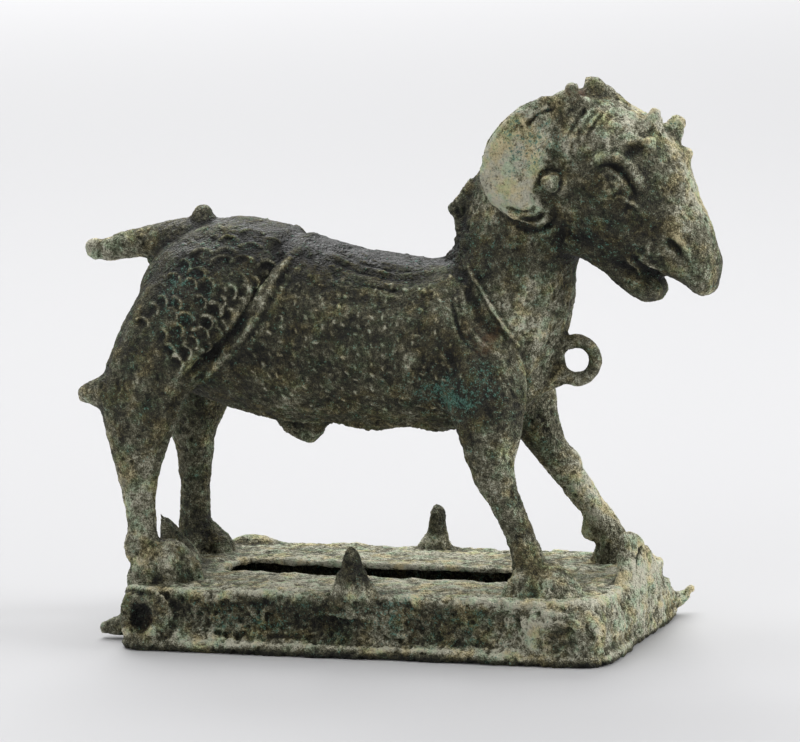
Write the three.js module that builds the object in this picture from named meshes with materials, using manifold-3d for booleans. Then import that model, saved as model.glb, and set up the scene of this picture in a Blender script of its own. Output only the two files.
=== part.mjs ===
// A cast bronze ram on its hollow plinth. Millimetres, +X towards the head, +Y to the ram's left side, +Z up.
// The origin is at the middle of the whole object's footprint, on the plane that the plinth stands on.
import * as THREE from "three";
import { mergeVertices } from "three/addons/utils/BufferGeometryUtils.js";
import Module from "manifold-3d";

const wasm = await Module();
wasm.setup();

// How far a face may move where neighbouring faces are made one.
const SIMPLER_BY = 0.12;

// The plinth: its foot, its top plate and the hollow below.
const PLINTH_LENGTH = 160;
const PLINTH_WIDTH = 92;
const PLINTH_HEIGHT = 19.5;
const CORNER_RADIUS = 9;
const WALL_INSET = 8;
const PLATE_THICKNESS = 2.3;
const SLOT_LENGTH = 98;
const SLOT_WIDTH = 21;
const SLOT_SHIFT = -8;
const SLOT_TURN = -0.03;
const EDGE_WAVE = { depth: 0.6, along: 2.3, corner: 1.7, height: 0.35 };
const FIN_BULGE = 0.3;
const FIN_ROUND = 1.5;
const FIN_FOOT = 10;

// The metal poured round the hooves.
const MOUND_LEVELS = [[1, 0], [0.94, 0.2], [0.74, 0.5], [0.5, 0.8], [0.34, 1]];
const MOUND_ROUGHNESS = [0.13, 0.09];

// The ring at the ram's chest.
const RING_CENTRE = [59.4, 0, 87.6];
const RING_RADIUS = 6.1;
const RING_WIRE = 2.45;
const RING_TILT = -0.2;

// The horns: one flat shell on each side, wound about the ear.
const HORN_CENTRE = [57, 144];
const HORN_START = 66;
const HORN_SWEEP = 190;
const HORN_FLATNESS = 0.55;

// The rump strap with the groove behind it and the two ridges of the collar, each in a plane through its
// centre and its top, and reaching the given turn down both sides.
const RUMP_STRAP = { centre: [-41.6, 0, 103.5], top: [17.4, 0, 24.8], reach: 112, half: 2.3, rise: 1.3 };
const RUMP_GROOVE = { centre: [-45.8, 0, 104], top: [17.4, 0, 24.8], reach: 112, half: 2, rise: -1.6 };
const COLLAR_FRONT = { centre: [41, 0, 104], top: [-13.5, 0, 17], reach: 145, half: 1.5, rise: 0.9 };
const COLLAR_REAR = { centre: [36, 0, 101], top: [-9.4, 0, 20.6], reach: 135, half: 1.5, rise: 0.9 };
const BAND_STEPS = 14;
const RIDGE_SINK = 0.7;
const OUTSIDE = 90;

// The fleece: columns of short arcs behind the rump strap.
const STRAP_SLOPE = 0.66;
const CURL_LENGTH = 8;
const CURL_HALF = 1.5;
const CURL_RISE = 1;
const CURL_BOW = 2.2;
const CURL_PITCH = 8;
const CURL_STEPS = [-1, 0, 1];
const CURL_LEAN = 0.25;
const CURL_COLUMNS = [
  { x: -35, z: 120, count: 5 },
  { x: -45, z: 122, count: 6 },
  { x: -55, z: 120, count: 5 },
  { x: -64, z: 114, count: 3 },
];

/** A vector from a list of three numbers. */
function vec([x, y, z]) {
  return new THREE.Vector3(x, y, z);
}

/** A value on a smooth curve through evenly spaced values, with t from 0 to 1. */
function smooth(values, t) {
  const place = THREE.MathUtils.clamp(t, 0, 1) * (values.length - 1);
  const i = Math.min(Math.floor(place), values.length - 2);
  const f = place - i;
  const before = values[Math.max(i - 1, 0)];
  const after = values[Math.min(i + 2, values.length - 1)];
  const slopeA = (values[i + 1] - before) / 2;
  const slopeB = (after - values[i]) / 2;
  const a = 2 * (values[i] - values[i + 1]) + slopeA + slopeB;
  const b = 3 * (values[i + 1] - values[i]) - 2 * slopeA - slopeB;
  return ((a * f + b) * f + slopeA) * f + values[i];
}

/** A closed solid through rings of equal point counts, each a list of vectors, capped at both ends. */
function loft(rings) {
  const count = rings[0].length;
  const points = rings.flat();
  const triangles = [];
  for (let r = 0; r < rings.length - 1; r += 1) {
    for (let i = 0; i < count; i += 1) {
      const a = r * count + i;
      const b = r * count + ((i + 1) % count);
      triangles.push(a, b, b + count, a, b + count, a + count);
    }
  }
  for (const [ring, flip] of [[0, true], [rings.length - 1, false]]) {
    const middle = new THREE.Vector3();
    rings[ring].forEach((point) => middle.addScaledVector(point, 1 / count));
    points.push(middle);
    for (let i = 0; i < count; i += 1) {
      const a = ring * count + i;
      const b = ring * count + ((i + 1) % count);
      triangles.push(points.length - 1, flip ? b : a, flip ? a : b);
    }
  }
  const geometry = new THREE.BufferGeometry().setFromPoints(points);
  geometry.setIndex(triangles);
  return solid(geometry);
}

/** A manifold solid from a closed geometry, turned outside out where its faces point inwards. */
function solid(geometry) {
  const bare = new THREE.BufferGeometry();
  bare.setAttribute("position", geometry.getAttribute("position"));
  bare.setIndex(geometry.getIndex());
  const merged = mergeVertices(bare, 1e-4);
  const corners = Uint32Array.from(merged.getIndex().array);
  const place = merged.getAttribute("position");
  let volume = 0;
  for (let i = 0; i < corners.length; i += 3) {
    const [a, b, c] = [0, 1, 2].map((k) => new THREE.Vector3().fromBufferAttribute(place, corners[i + k]));
    volume += a.dot(b.cross(c));
  }
  if (volume < 0) {
    for (let i = 0; i < corners.length; i += 3) {
      [corners[i + 1], corners[i + 2]] = [corners[i + 2], corners[i + 1]];
    }
  }
  return new wasm.Manifold(new wasm.Mesh({
    numProp: 3,
    vertProperties: Float32Array.from(place.array),
    triVerts: corners,
  }));
}

/** The geometry of a manifold solid. */
function geometryOf(made) {
  const mesh = made.getMesh();
  const geometry = new THREE.BufferGeometry();
  geometry.setAttribute("position", new THREE.BufferAttribute(mesh.vertProperties, 3));
  geometry.setIndex(new THREE.BufferAttribute(mesh.triVerts, 1));
  return geometry;
}

/** All the solids of a list joined. */
function join(parts) {
  return parts.reduce((whole, part) => whole.add(part));
}

/** The largest body of a solid, so that no sliver which a cut leaves stays beside it. */
function largest(made) {
  return made.decompose().reduce((best, body) => (body.volume() > best.volume() ? body : best));
}

/**
 * A body through cross-sections that each span from an upper to a lower point of the side view.
 * A station is [upper x, upper z, lower x, lower z, half width, middle y].
 */
function spanBody(stations, sides, steps, fullness = 2) {
  const rings = [];
  for (let s = 0; s <= steps; s += 1) {
    const [ux, uz, lx, lz, half, side] = [0, 1, 2, 3, 4, 5].map(
      (k) => smooth(stations.map((station) => station[k] ?? 0), s / steps),
    );
    const ring = [];
    for (let i = 0; i < sides; i += 1) {
      const turn = (i / sides) * Math.PI * 2;
      const rise = Math.sign(Math.sin(turn)) * Math.abs(Math.sin(turn)) ** (2 / fullness);
      const out = Math.sign(Math.cos(turn)) * Math.abs(Math.cos(turn)) ** (2 / fullness);
      ring.push(new THREE.Vector3(
        (ux + lx) / 2 + (rise * (ux - lx)) / 2,
        side + out * half,
        (uz + lz) / 2 + (rise * (uz - lz)) / 2,
      ));
    }
    rings.push(ring);
  }
  return loft(rings);
}

/** A leg or other upright limb; a station is [x, y, z, half length in x, half width in y]. */
function limb(stations, sides, steps) {
  return spanBody(
    stations.map(([x, y, z, rx, ry]) => [x + rx, z, x - rx, z, ry, y]),
    sides,
    steps,
  );
}

/** A round tube along a smooth path; its radii are spread evenly along it. */
function taper(path, radii, sides, steps) {
  const curve = new THREE.CatmullRomCurve3(path.map(vec), false, "centripetal");
  const frames = curve.computeFrenetFrames(steps);
  const rings = [];
  for (let s = 0; s <= steps; s += 1) {
    const centre = curve.getPointAt(s / steps);
    const radius = smooth(radii, s / steps);
    const ring = [];
    for (let i = 0; i < sides; i += 1) {
      const turn = (i / sides) * Math.PI * 2;
      ring.push(centre.clone()
        .addScaledVector(frames.normals[s], Math.cos(turn) * radius)
        .addScaledVector(frames.binormals[s], Math.sin(turn) * radius));
    }
    rings.push(ring);
  }
  return loft(rings);
}

/** A rounded lump with three half sizes; a fullness over 2 makes it boxy. */
function lump(centre, half, around = 7, along = 5, fullness = 2) {
  const ball = new THREE.SphereGeometry(1, around, along);
  ball.rotateX(Math.PI / 2);
  const place = ball.getAttribute("position");
  for (let i = 0; i < place.count; i += 1) {
    const point = new THREE.Vector3().fromBufferAttribute(place, i);
    const size = (Math.abs(point.x) ** fullness + Math.abs(point.y) ** fullness
      + Math.abs(point.z) ** fullness) ** (1 / fullness);
    point.divideScalar(size);
    place.setXYZ(i, ...[0, 1, 2].map((k) => centre[k] + half[k] * point.getComponent(k)));
  }
  return solid(ball);
}

/** A box between two corners. */
function block(low, high) {
  const size = vec(high).sub(vec(low));
  const box = new THREE.BoxGeometry(size.x, size.y, size.z);
  box.translate(...vec(low).add(vec(high)).multiplyScalar(0.5).toArray());
  return solid(box);
}

/** The points of a rectangle with round corners at height z; wave is how far its edges bend. */
function plate(length, width, radius, z, wave = 0) {
  const ring = [];
  const arc = 4;
  const between = 5;
  const corners = [[1, 1], [-1, 1], [-1, -1], [1, -1]];
  corners.forEach(([sx, sy], corner) => {
    for (let i = 0; i <= arc; i += 1) {
      const turn = (corner + i / arc) * (Math.PI / 2);
      ring.push(new THREE.Vector3(
        sx * (length / 2 - radius) + radius * Math.cos(turn),
        sy * (width / 2 - radius) + radius * Math.sin(turn),
        z,
      ));
    }
    const [nx, ny] = corners[(corner + 1) % 4];
    const from = ring[ring.length - 1];
    const turn = (corner + 1) * (Math.PI / 2);
    const to = new THREE.Vector3(
      nx * (length / 2 - radius) + radius * Math.cos(turn),
      ny * (width / 2 - radius) + radius * Math.sin(turn),
      z,
    );
    for (let i = 1; i < between; i += 1) {
      const point = from.clone().lerp(to, i / between);
      const phase = i * EDGE_WAVE.along + corner * EDGE_WAVE.corner + z * EDGE_WAVE.height;
      const bend = wave * Math.sin(phase);
      point.x += bend * Math.cos(turn);
      point.y += bend * Math.sin(turn);
      ring.push(point);
    }
  });
  return ring;
}

/** A body's surface, which straps, curls and knobs are laid on. */
class Skin {
  constructor(made) {
    this.mesh = new THREE.Mesh(geometryOf(made), new THREE.MeshBasicMaterial());
    this.mesh.updateMatrixWorld(true);
    this.ray = new THREE.Raycaster();
  }

  /** The first point of the surface seen from a point outside, looking at an aim, with its normal. */
  seenFrom(outside, aim) {
    this.ray.set(outside, aim.clone().sub(outside).normalize());
    const [hit] = this.ray.intersectObject(this.mesh);
    return hit ? { point: hit.point, normal: hit.face.normal } : null;
  }

  /** The point of one side's surface at a place of the side view. */
  onSide(x, z, side) {
    return this.seenFrom(new THREE.Vector3(x, side * OUTSIDE, z), new THREE.Vector3(x, 0, z));
  }

  /** The points of one side's surface along a line of the side view, given as [x, z] pairs. */
  lineOnSide(places, side) {
    return places.map(([x, z]) => this.onSide(x, z, side));
  }

  /** Points round the body in the plane through a centre, to a turn in degrees on each side. */
  loopAbout({ centre, top, reach }) {
    const up = vec(top).normalize();
    const middle = vec(centre);
    const hits = [];
    for (let i = 0; i <= BAND_STEPS; i += 1) {
      const turn = THREE.MathUtils.degToRad(reach * ((2 * i) / BAND_STEPS - 1));
      const out = up.clone().multiplyScalar(Math.cos(turn));
      out.y += Math.sin(turn);
      hits.push(this.seenFrom(middle.clone().addScaledVector(out, OUTSIDE), middle));
    }
    return hits;
  }

  /** A raised band round the body, or the body of a groove where its rise is below zero. */
  band(loop) {
    return ridge(this.loopAbout(loop), loop.half, loop.rise);
  }
}

/**
 * A ridge laid along points of a skin, half as wide as half says and sunk a little below the skin.
 * A height below zero makes the body of a groove instead; round says how much its ends draw in.
 */
function ridge(hits, half, height, round = 0.5) {
  const sink = -RIDGE_SINK * Math.sign(height);
  const last = hits.length - 1;
  const rings = hits.map(({ point, normal }, i) => {
    const ahead = hits[Math.min(i + 1, last)].point.clone().sub(hits[Math.max(i - 1, 0)].point);
    const across = ahead.cross(normal).normalize();
    const scale = i === 0 || i === last ? 1 - round : 1;
    return [
      point.clone().addScaledVector(across, half * scale).addScaledVector(normal, sink),
      point.clone().addScaledVector(normal, height * scale),
      point.clone().addScaledVector(across, -half * scale).addScaledVector(normal, sink),
    ];
  });
  return loft(rings);
}

/** The trunk, from the rump to the chest. */
function trunk() {
  return spanBody([
    [-81, 110.5, -82.4, 104.5, 3.5],
    [-79, 116.6, -82.2, 96, 12.5],
    [-73, 123, -79, 84, 20],
    [-62, 129.3, -66, 75, 25],
    [-48, 131.4, -50, 69.5, 27],
    [-32, 127.6, -34, 65.8, 27],
    [-16, 122.6, -17, 65, 26.5],
    [0, 120, 0, 65.2, 26.5],
    [15, 118.6, 15, 64.8, 27],
    [28, 120, 29, 66, 25.5],
    [39, 112, 41, 70.5, 20],
    [48, 101, 50, 78, 10],
  ], 16, 14, 2.25);
}

/** The neck, upright and leaning a little forward. */
function neck() {
  return spanBody([
    [8, 92, 49.5, 77, 22],
    [14, 104, 54, 90, 22],
    [19, 117, 58.5, 103, 19],
    [22.5, 127, 59.5, 114, 16.5],
    [26, 138, 62, 124, 15.5],
    [31, 149, 68, 132, 15],
    [42, 159, 74, 142, 13],
    [54, 166, 76, 152, 9],
  ], 14, 9);
}

/** The skull and upper jaw as one wedge, with the lower jaw hanging open below it. */
function head() {
  const skull = spanBody([
    [50, 164, 48, 134, 11],
    [60, 171.5, 58, 124, 15.5],
    [72, 170.3, 66, 119.5, 17],
    [82.5, 164.4, 73.5, 116, 16.5],
    [90.5, 158.6, 80, 115, 14.5],
    [95.6, 151, 85.5, 114.6, 12.5],
    [98.2, 142, 90, 113.6, 10.8],
    [101.4, 133.5, 94.4, 111.8, 9.8],
    [104.2, 125.6, 97.8, 108.8, 9],
    [105.6, 118.6, 101.6, 108.4, 7.6],
    [105.2, 114.8, 103.8, 111, 4.4],
  ], 14, 14, 2.2);
  const jaw = spanBody([
    [62, 132, 57.4, 121, 13],
    [72, 127, 66, 118, 11.8],
    [80, 121, 74.2, 110.6, 9.6],
    [86.4, 115.4, 80.4, 105.7, 7.8],
    [88.9, 111.8, 87.4, 107, 5.4],
  ], 8, 5);
  return join([skull, jaw]);
}

/** The tail, raised behind the rump with a drooping tip. */
function tail() {
  return join([
    taper(
      [[-64, 0, 122], [-74, 0, 123], [-82, 0, 122.6], [-90, 0, 121.2], [-97, 0, 119.6], [-101.6, 0, 120.3]],
      [8, 7.2, 5.6, 4.8, 4.1, 2.6],
      8,
      7,
    ),
    lump([-99.4, 0, 119.8], [3.2, 3.6, 4], 7, 5),
    lump([-79, 0, 115.6], [3, 3.4, 3.6], 7, 5),
  ]);
}

/** The four legs, each with its shoulder or thigh. */
function legs() {
  const nearHind = limb([
    [-55, -13, 120, 13, 7],
    [-61, -17, 108, 19, 11],
    [-66, -19, 96, 19, 12],
    [-71, -21, 86, 18, 12],
    [-76, -23, 77, 15, 10.5],
    [-76.2, -24.5, 68.5, 12.8, 9.2],
    [-77, -25.5, 59.5, 9.5, 7.4],
    [-76.8, -27, 49.5, 6.3, 5.8],
    [-75.9, -28.2, 40, 4.9, 4.8],
    [-75, -29.3, 31, 4.9, 5],
    [-74.2, -30, 19.5, 6.2, 6],
  ], 8, 12);
  const farHind = limb([
    [-55, 13, 120, 13, 7],
    [-61, 17, 108, 19, 11],
    [-66, 19, 96, 18.5, 12],
    [-70, 21, 86, 17, 12],
    [-73.5, 22, 77, 14, 10.5],
    [-75.5, 22.5, 67, 11, 8.8],
    [-76.6, 22.5, 57, 7.4, 7],
    [-76.4, 22.5, 47, 5.6, 5.8],
    [-76.6, 22.3, 37, 5, 5],
    [-77, 22, 29, 5.4, 5.2],
    [-77, 22, 19.5, 6.2, 6],
  ], 8, 12);
  const nearFore = limb([
    [26, -13, 106, 8, 5],
    [30.5, -17, 94, 16.5, 9.5],
    [34.5, -20, 82, 15, 10],
    [37.7, -22.5, 69.5, 11.2, 8.6],
    [38.2, -24.5, 60, 8.1, 7.2],
    [40.8, -26, 51, 6.2, 6],
    [45.2, -26.8, 43.5, 5.3, 5.2],
    [48.6, -27.4, 36, 4.9, 4.8],
    [51.2, -28, 28.5, 5.4, 5.2],
    [52.4, -28, 19.5, 7, 6.6],
  ], 8, 11);
  const farFore = limb([
    [26, 13, 106, 8, 5],
    [29.5, 17, 94, 16, 9.5],
    [32, 20, 82, 14, 9.5],
    [35.4, 22.5, 71, 10.6, 8.6],
    [39.6, 24.5, 60, 7.6, 7.2],
    [45.8, 26, 50, 6.6, 6],
    [51.4, 26.8, 42.5, 5.8, 5.2],
    [56.4, 27, 35.5, 5.6, 5],
    [61.2, 27, 29, 5.4, 5],
    [62.4, 27, 19.5, 5.8, 5.6],
  ], 8, 11);
  const knobs = [
    taper([[-80, -23, 77.5], [-89, -23, 77.5], [-94, -23, 77.5], [-97.6, -23, 77]], [9, 7.4, 4.6, 2.2], 8, 4),
    taper([[-80, 23, 77.5], [-88, 23, 77.5], [-92.4, 23, 77.3], [-95.4, 23, 77]], [9, 7, 4.4, 2.2], 8, 4),
    lump([42.6, -26.4, 52], [4.6, 5.6, 5], 7, 5),
    lump([48.4, 26.4, 50.6], [4.8, 5.6, 5], 7, 5),
    taper([[58.4, 26.5, 33], [54.9, 26.5, 29.4], [54.7, 26.5, 26.2]], [4, 3.7, 2.5], 7, 3),
  ];
  return join([nearHind, farHind, nearFore, farFore, ...knobs]);
}

/** Metal poured round a hoof: a low rough mound, flat where it lies on the plinth's top. */
function mound([x, y], [rx, ry, height], turn) {
  const rings = [];
  const sides = 10;
  const [broad, fine] = MOUND_ROUGHNESS;
  for (const [spread, rise] of MOUND_LEVELS) {
    const ring = [];
    for (let i = 0; i < sides; i += 1) {
      const angle = (i / sides) * Math.PI * 2;
      const rough = 1 + broad * Math.sin(angle * 3 + turn) + fine * Math.sin(angle * 5 + turn * 2 + rise);
      ring.push(new THREE.Vector3(
        x + rx * spread * rough * Math.cos(angle),
        y + ry * spread * rough * Math.sin(angle),
        PLINTH_HEIGHT + height * rise,
      ));
    }
    rings.push(ring);
  }
  return loft(rings);
}

/** The four mounds, one round each hoof. */
function mounds() {
  return join([
    mound([-68, -26], [11.2, 11.6, 12], 0.4),
    mound([-73, 22], [10, 10, 8.5], 1.9),
    mound([55.6, -27.4], [13.6, 12.4, 9.4], 3.1),
    mound([62.4, 27.6], [8.4, 8.6, 6.2], 4.6),
  ]);
}

/** One horn, a flat shell that curls round the ear to a hooked tip and is backed by the skull and neck. */
function horn(side) {
  const outer = [28.6, 27.6, 26, 25, 23.2, 20, 14.6, 8.6];
  const inner = [9, 6, 3.6, 3, 3, 4, 5.6, 6.4];
  const half = [1.8, 2.3, 2.1, 2.2, 3, 4.4, 3.8, 1.2];
  const back = [7, 7, 4.8, 4.2, 4.6, 5, 4, 1.2];
  const apart = [9, 14.2, 16, 16.4, 16.4, 16.2, 16.2, 16.2];
  const steps = 12;
  const sides = 8;
  const rings = [];
  for (let s = 0; s <= steps; s += 1) {
    const angle = THREE.MathUtils.degToRad(HORN_START + (HORN_SWEEP * s) / steps);
    const [far, near, face, deep, out] = [outer, inner, half, back, apart].map(
      (values) => smooth(values, s / steps),
    );
    const ring = [];
    for (let i = 0; i < sides; i += 1) {
      const turn = (i / sides) * Math.PI * 2;
      const reach = (far + near) / 2 + (Math.cos(turn) * (far - near)) / 2;
      const swell = Math.sign(Math.sin(turn)) * Math.abs(Math.sin(turn)) ** HORN_FLATNESS;
      ring.push(new THREE.Vector3(
        HORN_CENTRE[0] + reach * Math.cos(angle),
        side * (out + (swell > 0 ? face : deep) * swell),
        HORN_CENTRE[1] + reach * Math.sin(angle),
      ));
    }
    rings.push(ring);
  }
  return loft(rings);
}

/** The small ear that stands in the horn's winding, hollow behind. */
function ear(side) {
  return taper(
    [[62, side * 13, 143], [58.6, side * 18.6, 144.4], [57.2, side * 22.4, 145.2]],
    [3.4, 3.4, 2.2],
    7,
    4,
  );
}

/** The short locks that stand on the brow and at the horns' roots. */
function locks() {
  return join([
    taper([[61.6, -9.5, 165], [62.6, -10, 171], [62.7, -10, 174.7]], [4.2, 2.5, 2], 7, 2),
    taper([[61.6, 9.5, 165], [62.6, 10, 171], [62.7, 10, 174.7]], [4.2, 2.5, 2], 7, 2),
    taper([[68, 0, 165], [66.8, 0, 171], [66.2, 0, 175.5]], [6.6, 4.2, 2.4], 7, 2),
    taper([[73, 0, 166], [71, 0, 170], [69.8, 0, 173]], [5, 3.4, 2.2], 7, 2),
    taper([[85, -3, 157], [86.4, -3, 162.4], [87, -3, 166.6]], [5.4, 3.2, 2], 7, 2),
    taper([[86, 5, 152], [89.8, 5, 158], [92.4, 5, 162], [93, 5, 163]], [5.6, 4.2, 3.4, 2.2], 7, 3),
    taper([[84, -9.5, 151], [86.4, -10.5, 155], [87.2, -10.7, 157.4]], [4.2, 3, 2.1], 7, 2),
    taper([[90, 3, 148], [94.4, 3, 151], [96.4, 3, 153]], [5, 3.4, 2], 7, 2),
  ]);
}

/** The nape's mane, two ragged tufts between the horns and the collar. */
function mane() {
  return join([
    spanBody([
      [36, 150, 44, 140, 7],
      [27, 144.5, 38, 128, 7],
      [20.6, 137.4, 30, 126.5, 4.6],
      [18, 134.9, 21, 131.6, 2],
    ], 8, 6),
    spanBody([
      [32, 128, 36, 112, 8],
      [24, 126, 28, 113, 7],
      [20, 122.4, 23, 114, 5],
      [17.4, 119, 19, 115, 3],
    ], 8, 6),
  ]);
}

/** The cast ring at the chest with the rough mount that carries it. */
function ring() {
  const hoop = new THREE.TorusGeometry(RING_RADIUS, RING_WIRE, 7, 16);
  hoop.rotateX(Math.PI / 2);
  hoop.rotateY(RING_TILT);
  hoop.translate(...RING_CENTRE);
  return join([
    solid(hoop),
    taper([[44, 0, 92], [51, 0, 93], [56, 0, 94.4]], [8, 5, 2.6], 7, 3),
    taper([[44, 0, 84], [50, 0, 82], [55.4, 0, 81.6]], [8, 5, 2.6], 7, 3),
  ]);
}

/** The eye with its lids and the brow above it. */
function eye(skin, side) {
  const ball = skin.onSide(76, 143.4, side).point;
  const upperLid = [[70.8, 144.4], [73, 147.2], [76.6, 148.2], [80, 146], [82, 142.6]];
  const lowerLid = [[71.2, 143.4], [74, 140], [78.4, 139.4], [83, 137.6]];
  const brow = [[69.6, 148.4], [72.6, 152], [77.4, 153.2], [82, 150.4], [85.4, 143.6]];
  return join([
    lump([ball.x, ball.y - side * 0.9, ball.z], [3.1, 2.2, 2.4], 8, 5),
    ridge(skin.lineOnSide(upperLid, side), 1.2, 1.1),
    ridge(skin.lineOnSide(lowerLid, side), 1.1, 0.8),
    ridge(skin.lineOnSide(brow, side), 1.9, 1.6),
  ]);
}

/** Short arcs of fleece in columns that follow the rump strap, each bowed towards it. */
function curls(skin, side) {
  const parts = [];
  CURL_COLUMNS.forEach(({ x, z, count }) => {
    for (let i = 0; i < count; i += 1) {
      const low = z - i * CURL_PITCH;
      const along = x - (z - low) * STRAP_SLOPE;
      const places = CURL_STEPS.map((t) => [
        along + CURL_BOW * (1 - t * t) - t * CURL_LENGTH * CURL_LEAN,
        low + t * CURL_LENGTH * (0.5 - CURL_LEAN / 4),
      ]);
      parts.push(ridge(skin.lineOnSide(places, side), CURL_HALF, CURL_RISE, 0.75));
    }
  });
  return join(parts);
}

/** The ram: body, head, horns, legs, mounds, then straps and fleece laid on its skin. */
function buildRam() {
  const parts = [trunk(), neck(), head(), tail(), legs(), mane(), locks(), ring(), mounds()];
  const sheath = spanBody([
    [-38, 72, -38, 64.4, 5],
    [-32, 70, -33.2, 60.2, 5],
    [-26, 70, -27.4, 59.2, 4],
    [-20, 70, -22, 65.6, 3],
  ], 8, 5);
  const knob = taper(
    [[-62.6, 0, 124], [-62.5, 0, 129], [-62.4, 0, 132.4], [-62.4, 0, 134.6]],
    [6.5, 4.4, 3.9, 2.2],
    8,
    3,
  );
  const body = join([...parts, sheath, knob]);
  const skin = new Skin(body);
  const added = [skin.band(RUMP_STRAP), skin.band(COLLAR_FRONT), skin.band(COLLAR_REAR)];
  for (const side of [-1, 1]) {
    added.push(horn(side), ear(side), eye(skin, side), curls(skin, side));
    added.push(lump([56, side * 11, 145], [10, 6, 9]));
    added.push(lump([62, side * 7.6, 156], [9, 8.6, 13], 8, 6));
  }
  return largest(join([body.subtract(skin.band(RUMP_GROOVE)), ...added]).simplify(SIMPLER_BY));
}

/**
 * The raised end wall, a ridge along y whose outer face goes down to the foot.
 * A station is [y, crest z, crest x, outer x, inner x].
 */
function fin(stations, steps) {
  const rings = [];
  for (let s = 0; s <= steps; s += 1) {
    const [y, high, crest, outer, inner] = [0, 1, 2, 3, 4].map(
      (k) => smooth(stations.map((station) => station[k]), s / steps),
    );
    rings.push([
      [outer, 1],
      [outer + FIN_BULGE, high * 0.5],
      [(outer + crest) / 2, high - FIN_ROUND],
      [crest, high],
      [crest - FIN_ROUND, high - FIN_ROUND / 2],
      [inner, FIN_FOOT],
    ].map(([x, z]) => new THREE.Vector3(x, y, z)));
  }
  return loft(rings);
}

/** The hollow box with its spread foot, hollowed sides and slotted top plate. */
function box() {
  const profile = [
    [0, 0.3], [2.8, 0], [3.6, 1.6], [5.2, 3.9], [10, 5], [15, 4.8], [18.9, 3.9], [PLINTH_HEIGHT, 5],
  ];
  const outer = profile.map(([z, inset]) => plate(
    PLINTH_LENGTH - inset * 1.5,
    PLINTH_WIDTH - inset * 2,
    CORNER_RADIUS,
    z,
    EDGE_WAVE.depth,
  ));
  const ceiling = PLINTH_HEIGHT - PLATE_THICKNESS;
  const hollow = loft([
    plate(PLINTH_LENGTH - 6, PLINTH_WIDTH - 7, 5, -1),
    plate(PLINTH_LENGTH - WALL_INSET * 1.6, PLINTH_WIDTH - WALL_INSET * 2, 5, 4),
    plate(PLINTH_LENGTH - WALL_INSET * 1.8, PLINTH_WIDTH - WALL_INSET * 2.1, 5, ceiling),
  ]);
  const slot = loft([ceiling - 2, PLINTH_HEIGHT + 2].map(
    (z) => plate(SLOT_LENGTH, SLOT_WIDTH, 5.5, z, EDGE_WAVE.depth).map(
      (point) => point.applyAxisAngle(vec([0, 0, 1]), SLOT_TURN).add(vec([SLOT_SHIFT, 0, 0])),
    ),
  ));
  return { outer: loft(outer), hollow, slot };
}

/** The plinth: the box with corner bosses, their broken hollows, four lugs and two spikes. */
function buildPlinth() {
  const { outer, hollow, slot } = box();
  const bosses = join([
    lump([-70, -37, 9.4], [9.6, 9.4, 9.6], 10, 8, 3),
    lump([65, -35.5, 8.9], [13.4, 10.4, 9.6], 10, 8, 4),
    lump([-70, 37, 8.8], [9, 8.6, 8.8], 10, 6, 3),
    lump([68.6, 36, 6.6], [9.6, 9.4, 7.6], 10, 6, 3),
    lump([-75, -27, 12.4], [6.2, 9, 6.9], 8, 6, 2.6),
    lump([6, -39.2, 9.4], [12.5, 4.6, 9.4], 8, 6, 2.4),
  ]);
  const lugs = join([
    spanBody([
      [-13, 13, 9, 12, 5, -40.3],
      [-9.4, 20.5, 6.4, 19.6, 4.4, -40.3],
      [-7, 25.4, 3.2, 25, 3.6, -40.2],
      [-5.2, 30.4, 1, 30.2, 3, -40],
      [-4.1, 33.4, -0.1, 33, 2.2, -39.8],
      [-3, 34.6, -1.4, 34.4, 1.2, -39.7],
    ], 8, 6),
    spanBody([
      [-10, 15.5, 8, 15.5, 4, 38.5],
      [-6.6, 20.6, 5.4, 20.2, 3.4, 38.6],
      [-3.7, 25, 3.6, 25, 3, 39],
      [-3, 30, 3.2, 29.6, 2.6, 39.2],
      [-1.9, 32.6, 2.6, 32.2, 2, 39.4],
      [-0.8, 33.6, 1.4, 33.4, 1.1, 39.5],
    ], 8, 6),
    spanBody([
      [-79.6, 14, -63, 14, 9.4, -1],
      [-80, 23, -67.4, 22, 8, -1.4],
      [-79.8, 29, -71, 27.6, 5.8, -2],
      [-79.5, 33.4, -74.8, 31.8, 3.6, -2.6],
      [-79.6, 36.6, -78.2, 35.4, 1.2, -3],
    ], 8, 5),
    fin([
      [-37, 18.6, 75.4, 77.8, 72],
      [-23, 19.4, 75.6, 78.4, 72.4],
      [-10, 20.6, 75, 78.6, 72.6],
      [-4.6, 33.6, 73.8, 79, 71.4],
      [1.5, 34.6, 75.4, 79.4, 71.4],
      [8, 30.8, 77, 79.6, 72],
      [15, 25.8, 77.8, 79.7, 73],
      [23, 20.6, 77.8, 79.6, 73.6],
      [31, 15.6, 77, 79.2, 73.6],
      [39, 12.6, 76.4, 78.4, 73],
    ], 14),
    taper([[-72, -26, 5.5], [-81, -27, 4.6], [-87, -27.6, 3.4], [-90.8, -28, 3]], [6, 4.8, 3.6, 1.6], 8, 4),
    taper([[70, 36, 4.2], [77, 41, 4.4], [80.6, 44, 6], [83, 46, 8.8]], [4.2, 3.8, 2.8, 1.3], 7, 5),
    lump([-62.8, 38.6, 19.2], [8.6, 4.4, 2.8], 9, 5),
  ]);
  const broken = join([
    lump([-70.6, -48.4, 10.4], [4.6, 5.4, 5.2], 9, 6, 2.6),
    lump([64.4, -47.6, 8], [7.6, 3.4, 6.2], 10, 6, 3),
  ]);
  const floor = block([-120, -80, -20], [120, 80, 0]);
  return join([outer, bosses, lugs]).subtract(join([hollow, slot, broken, floor])).simplify(SIMPLER_BY);
}

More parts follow.
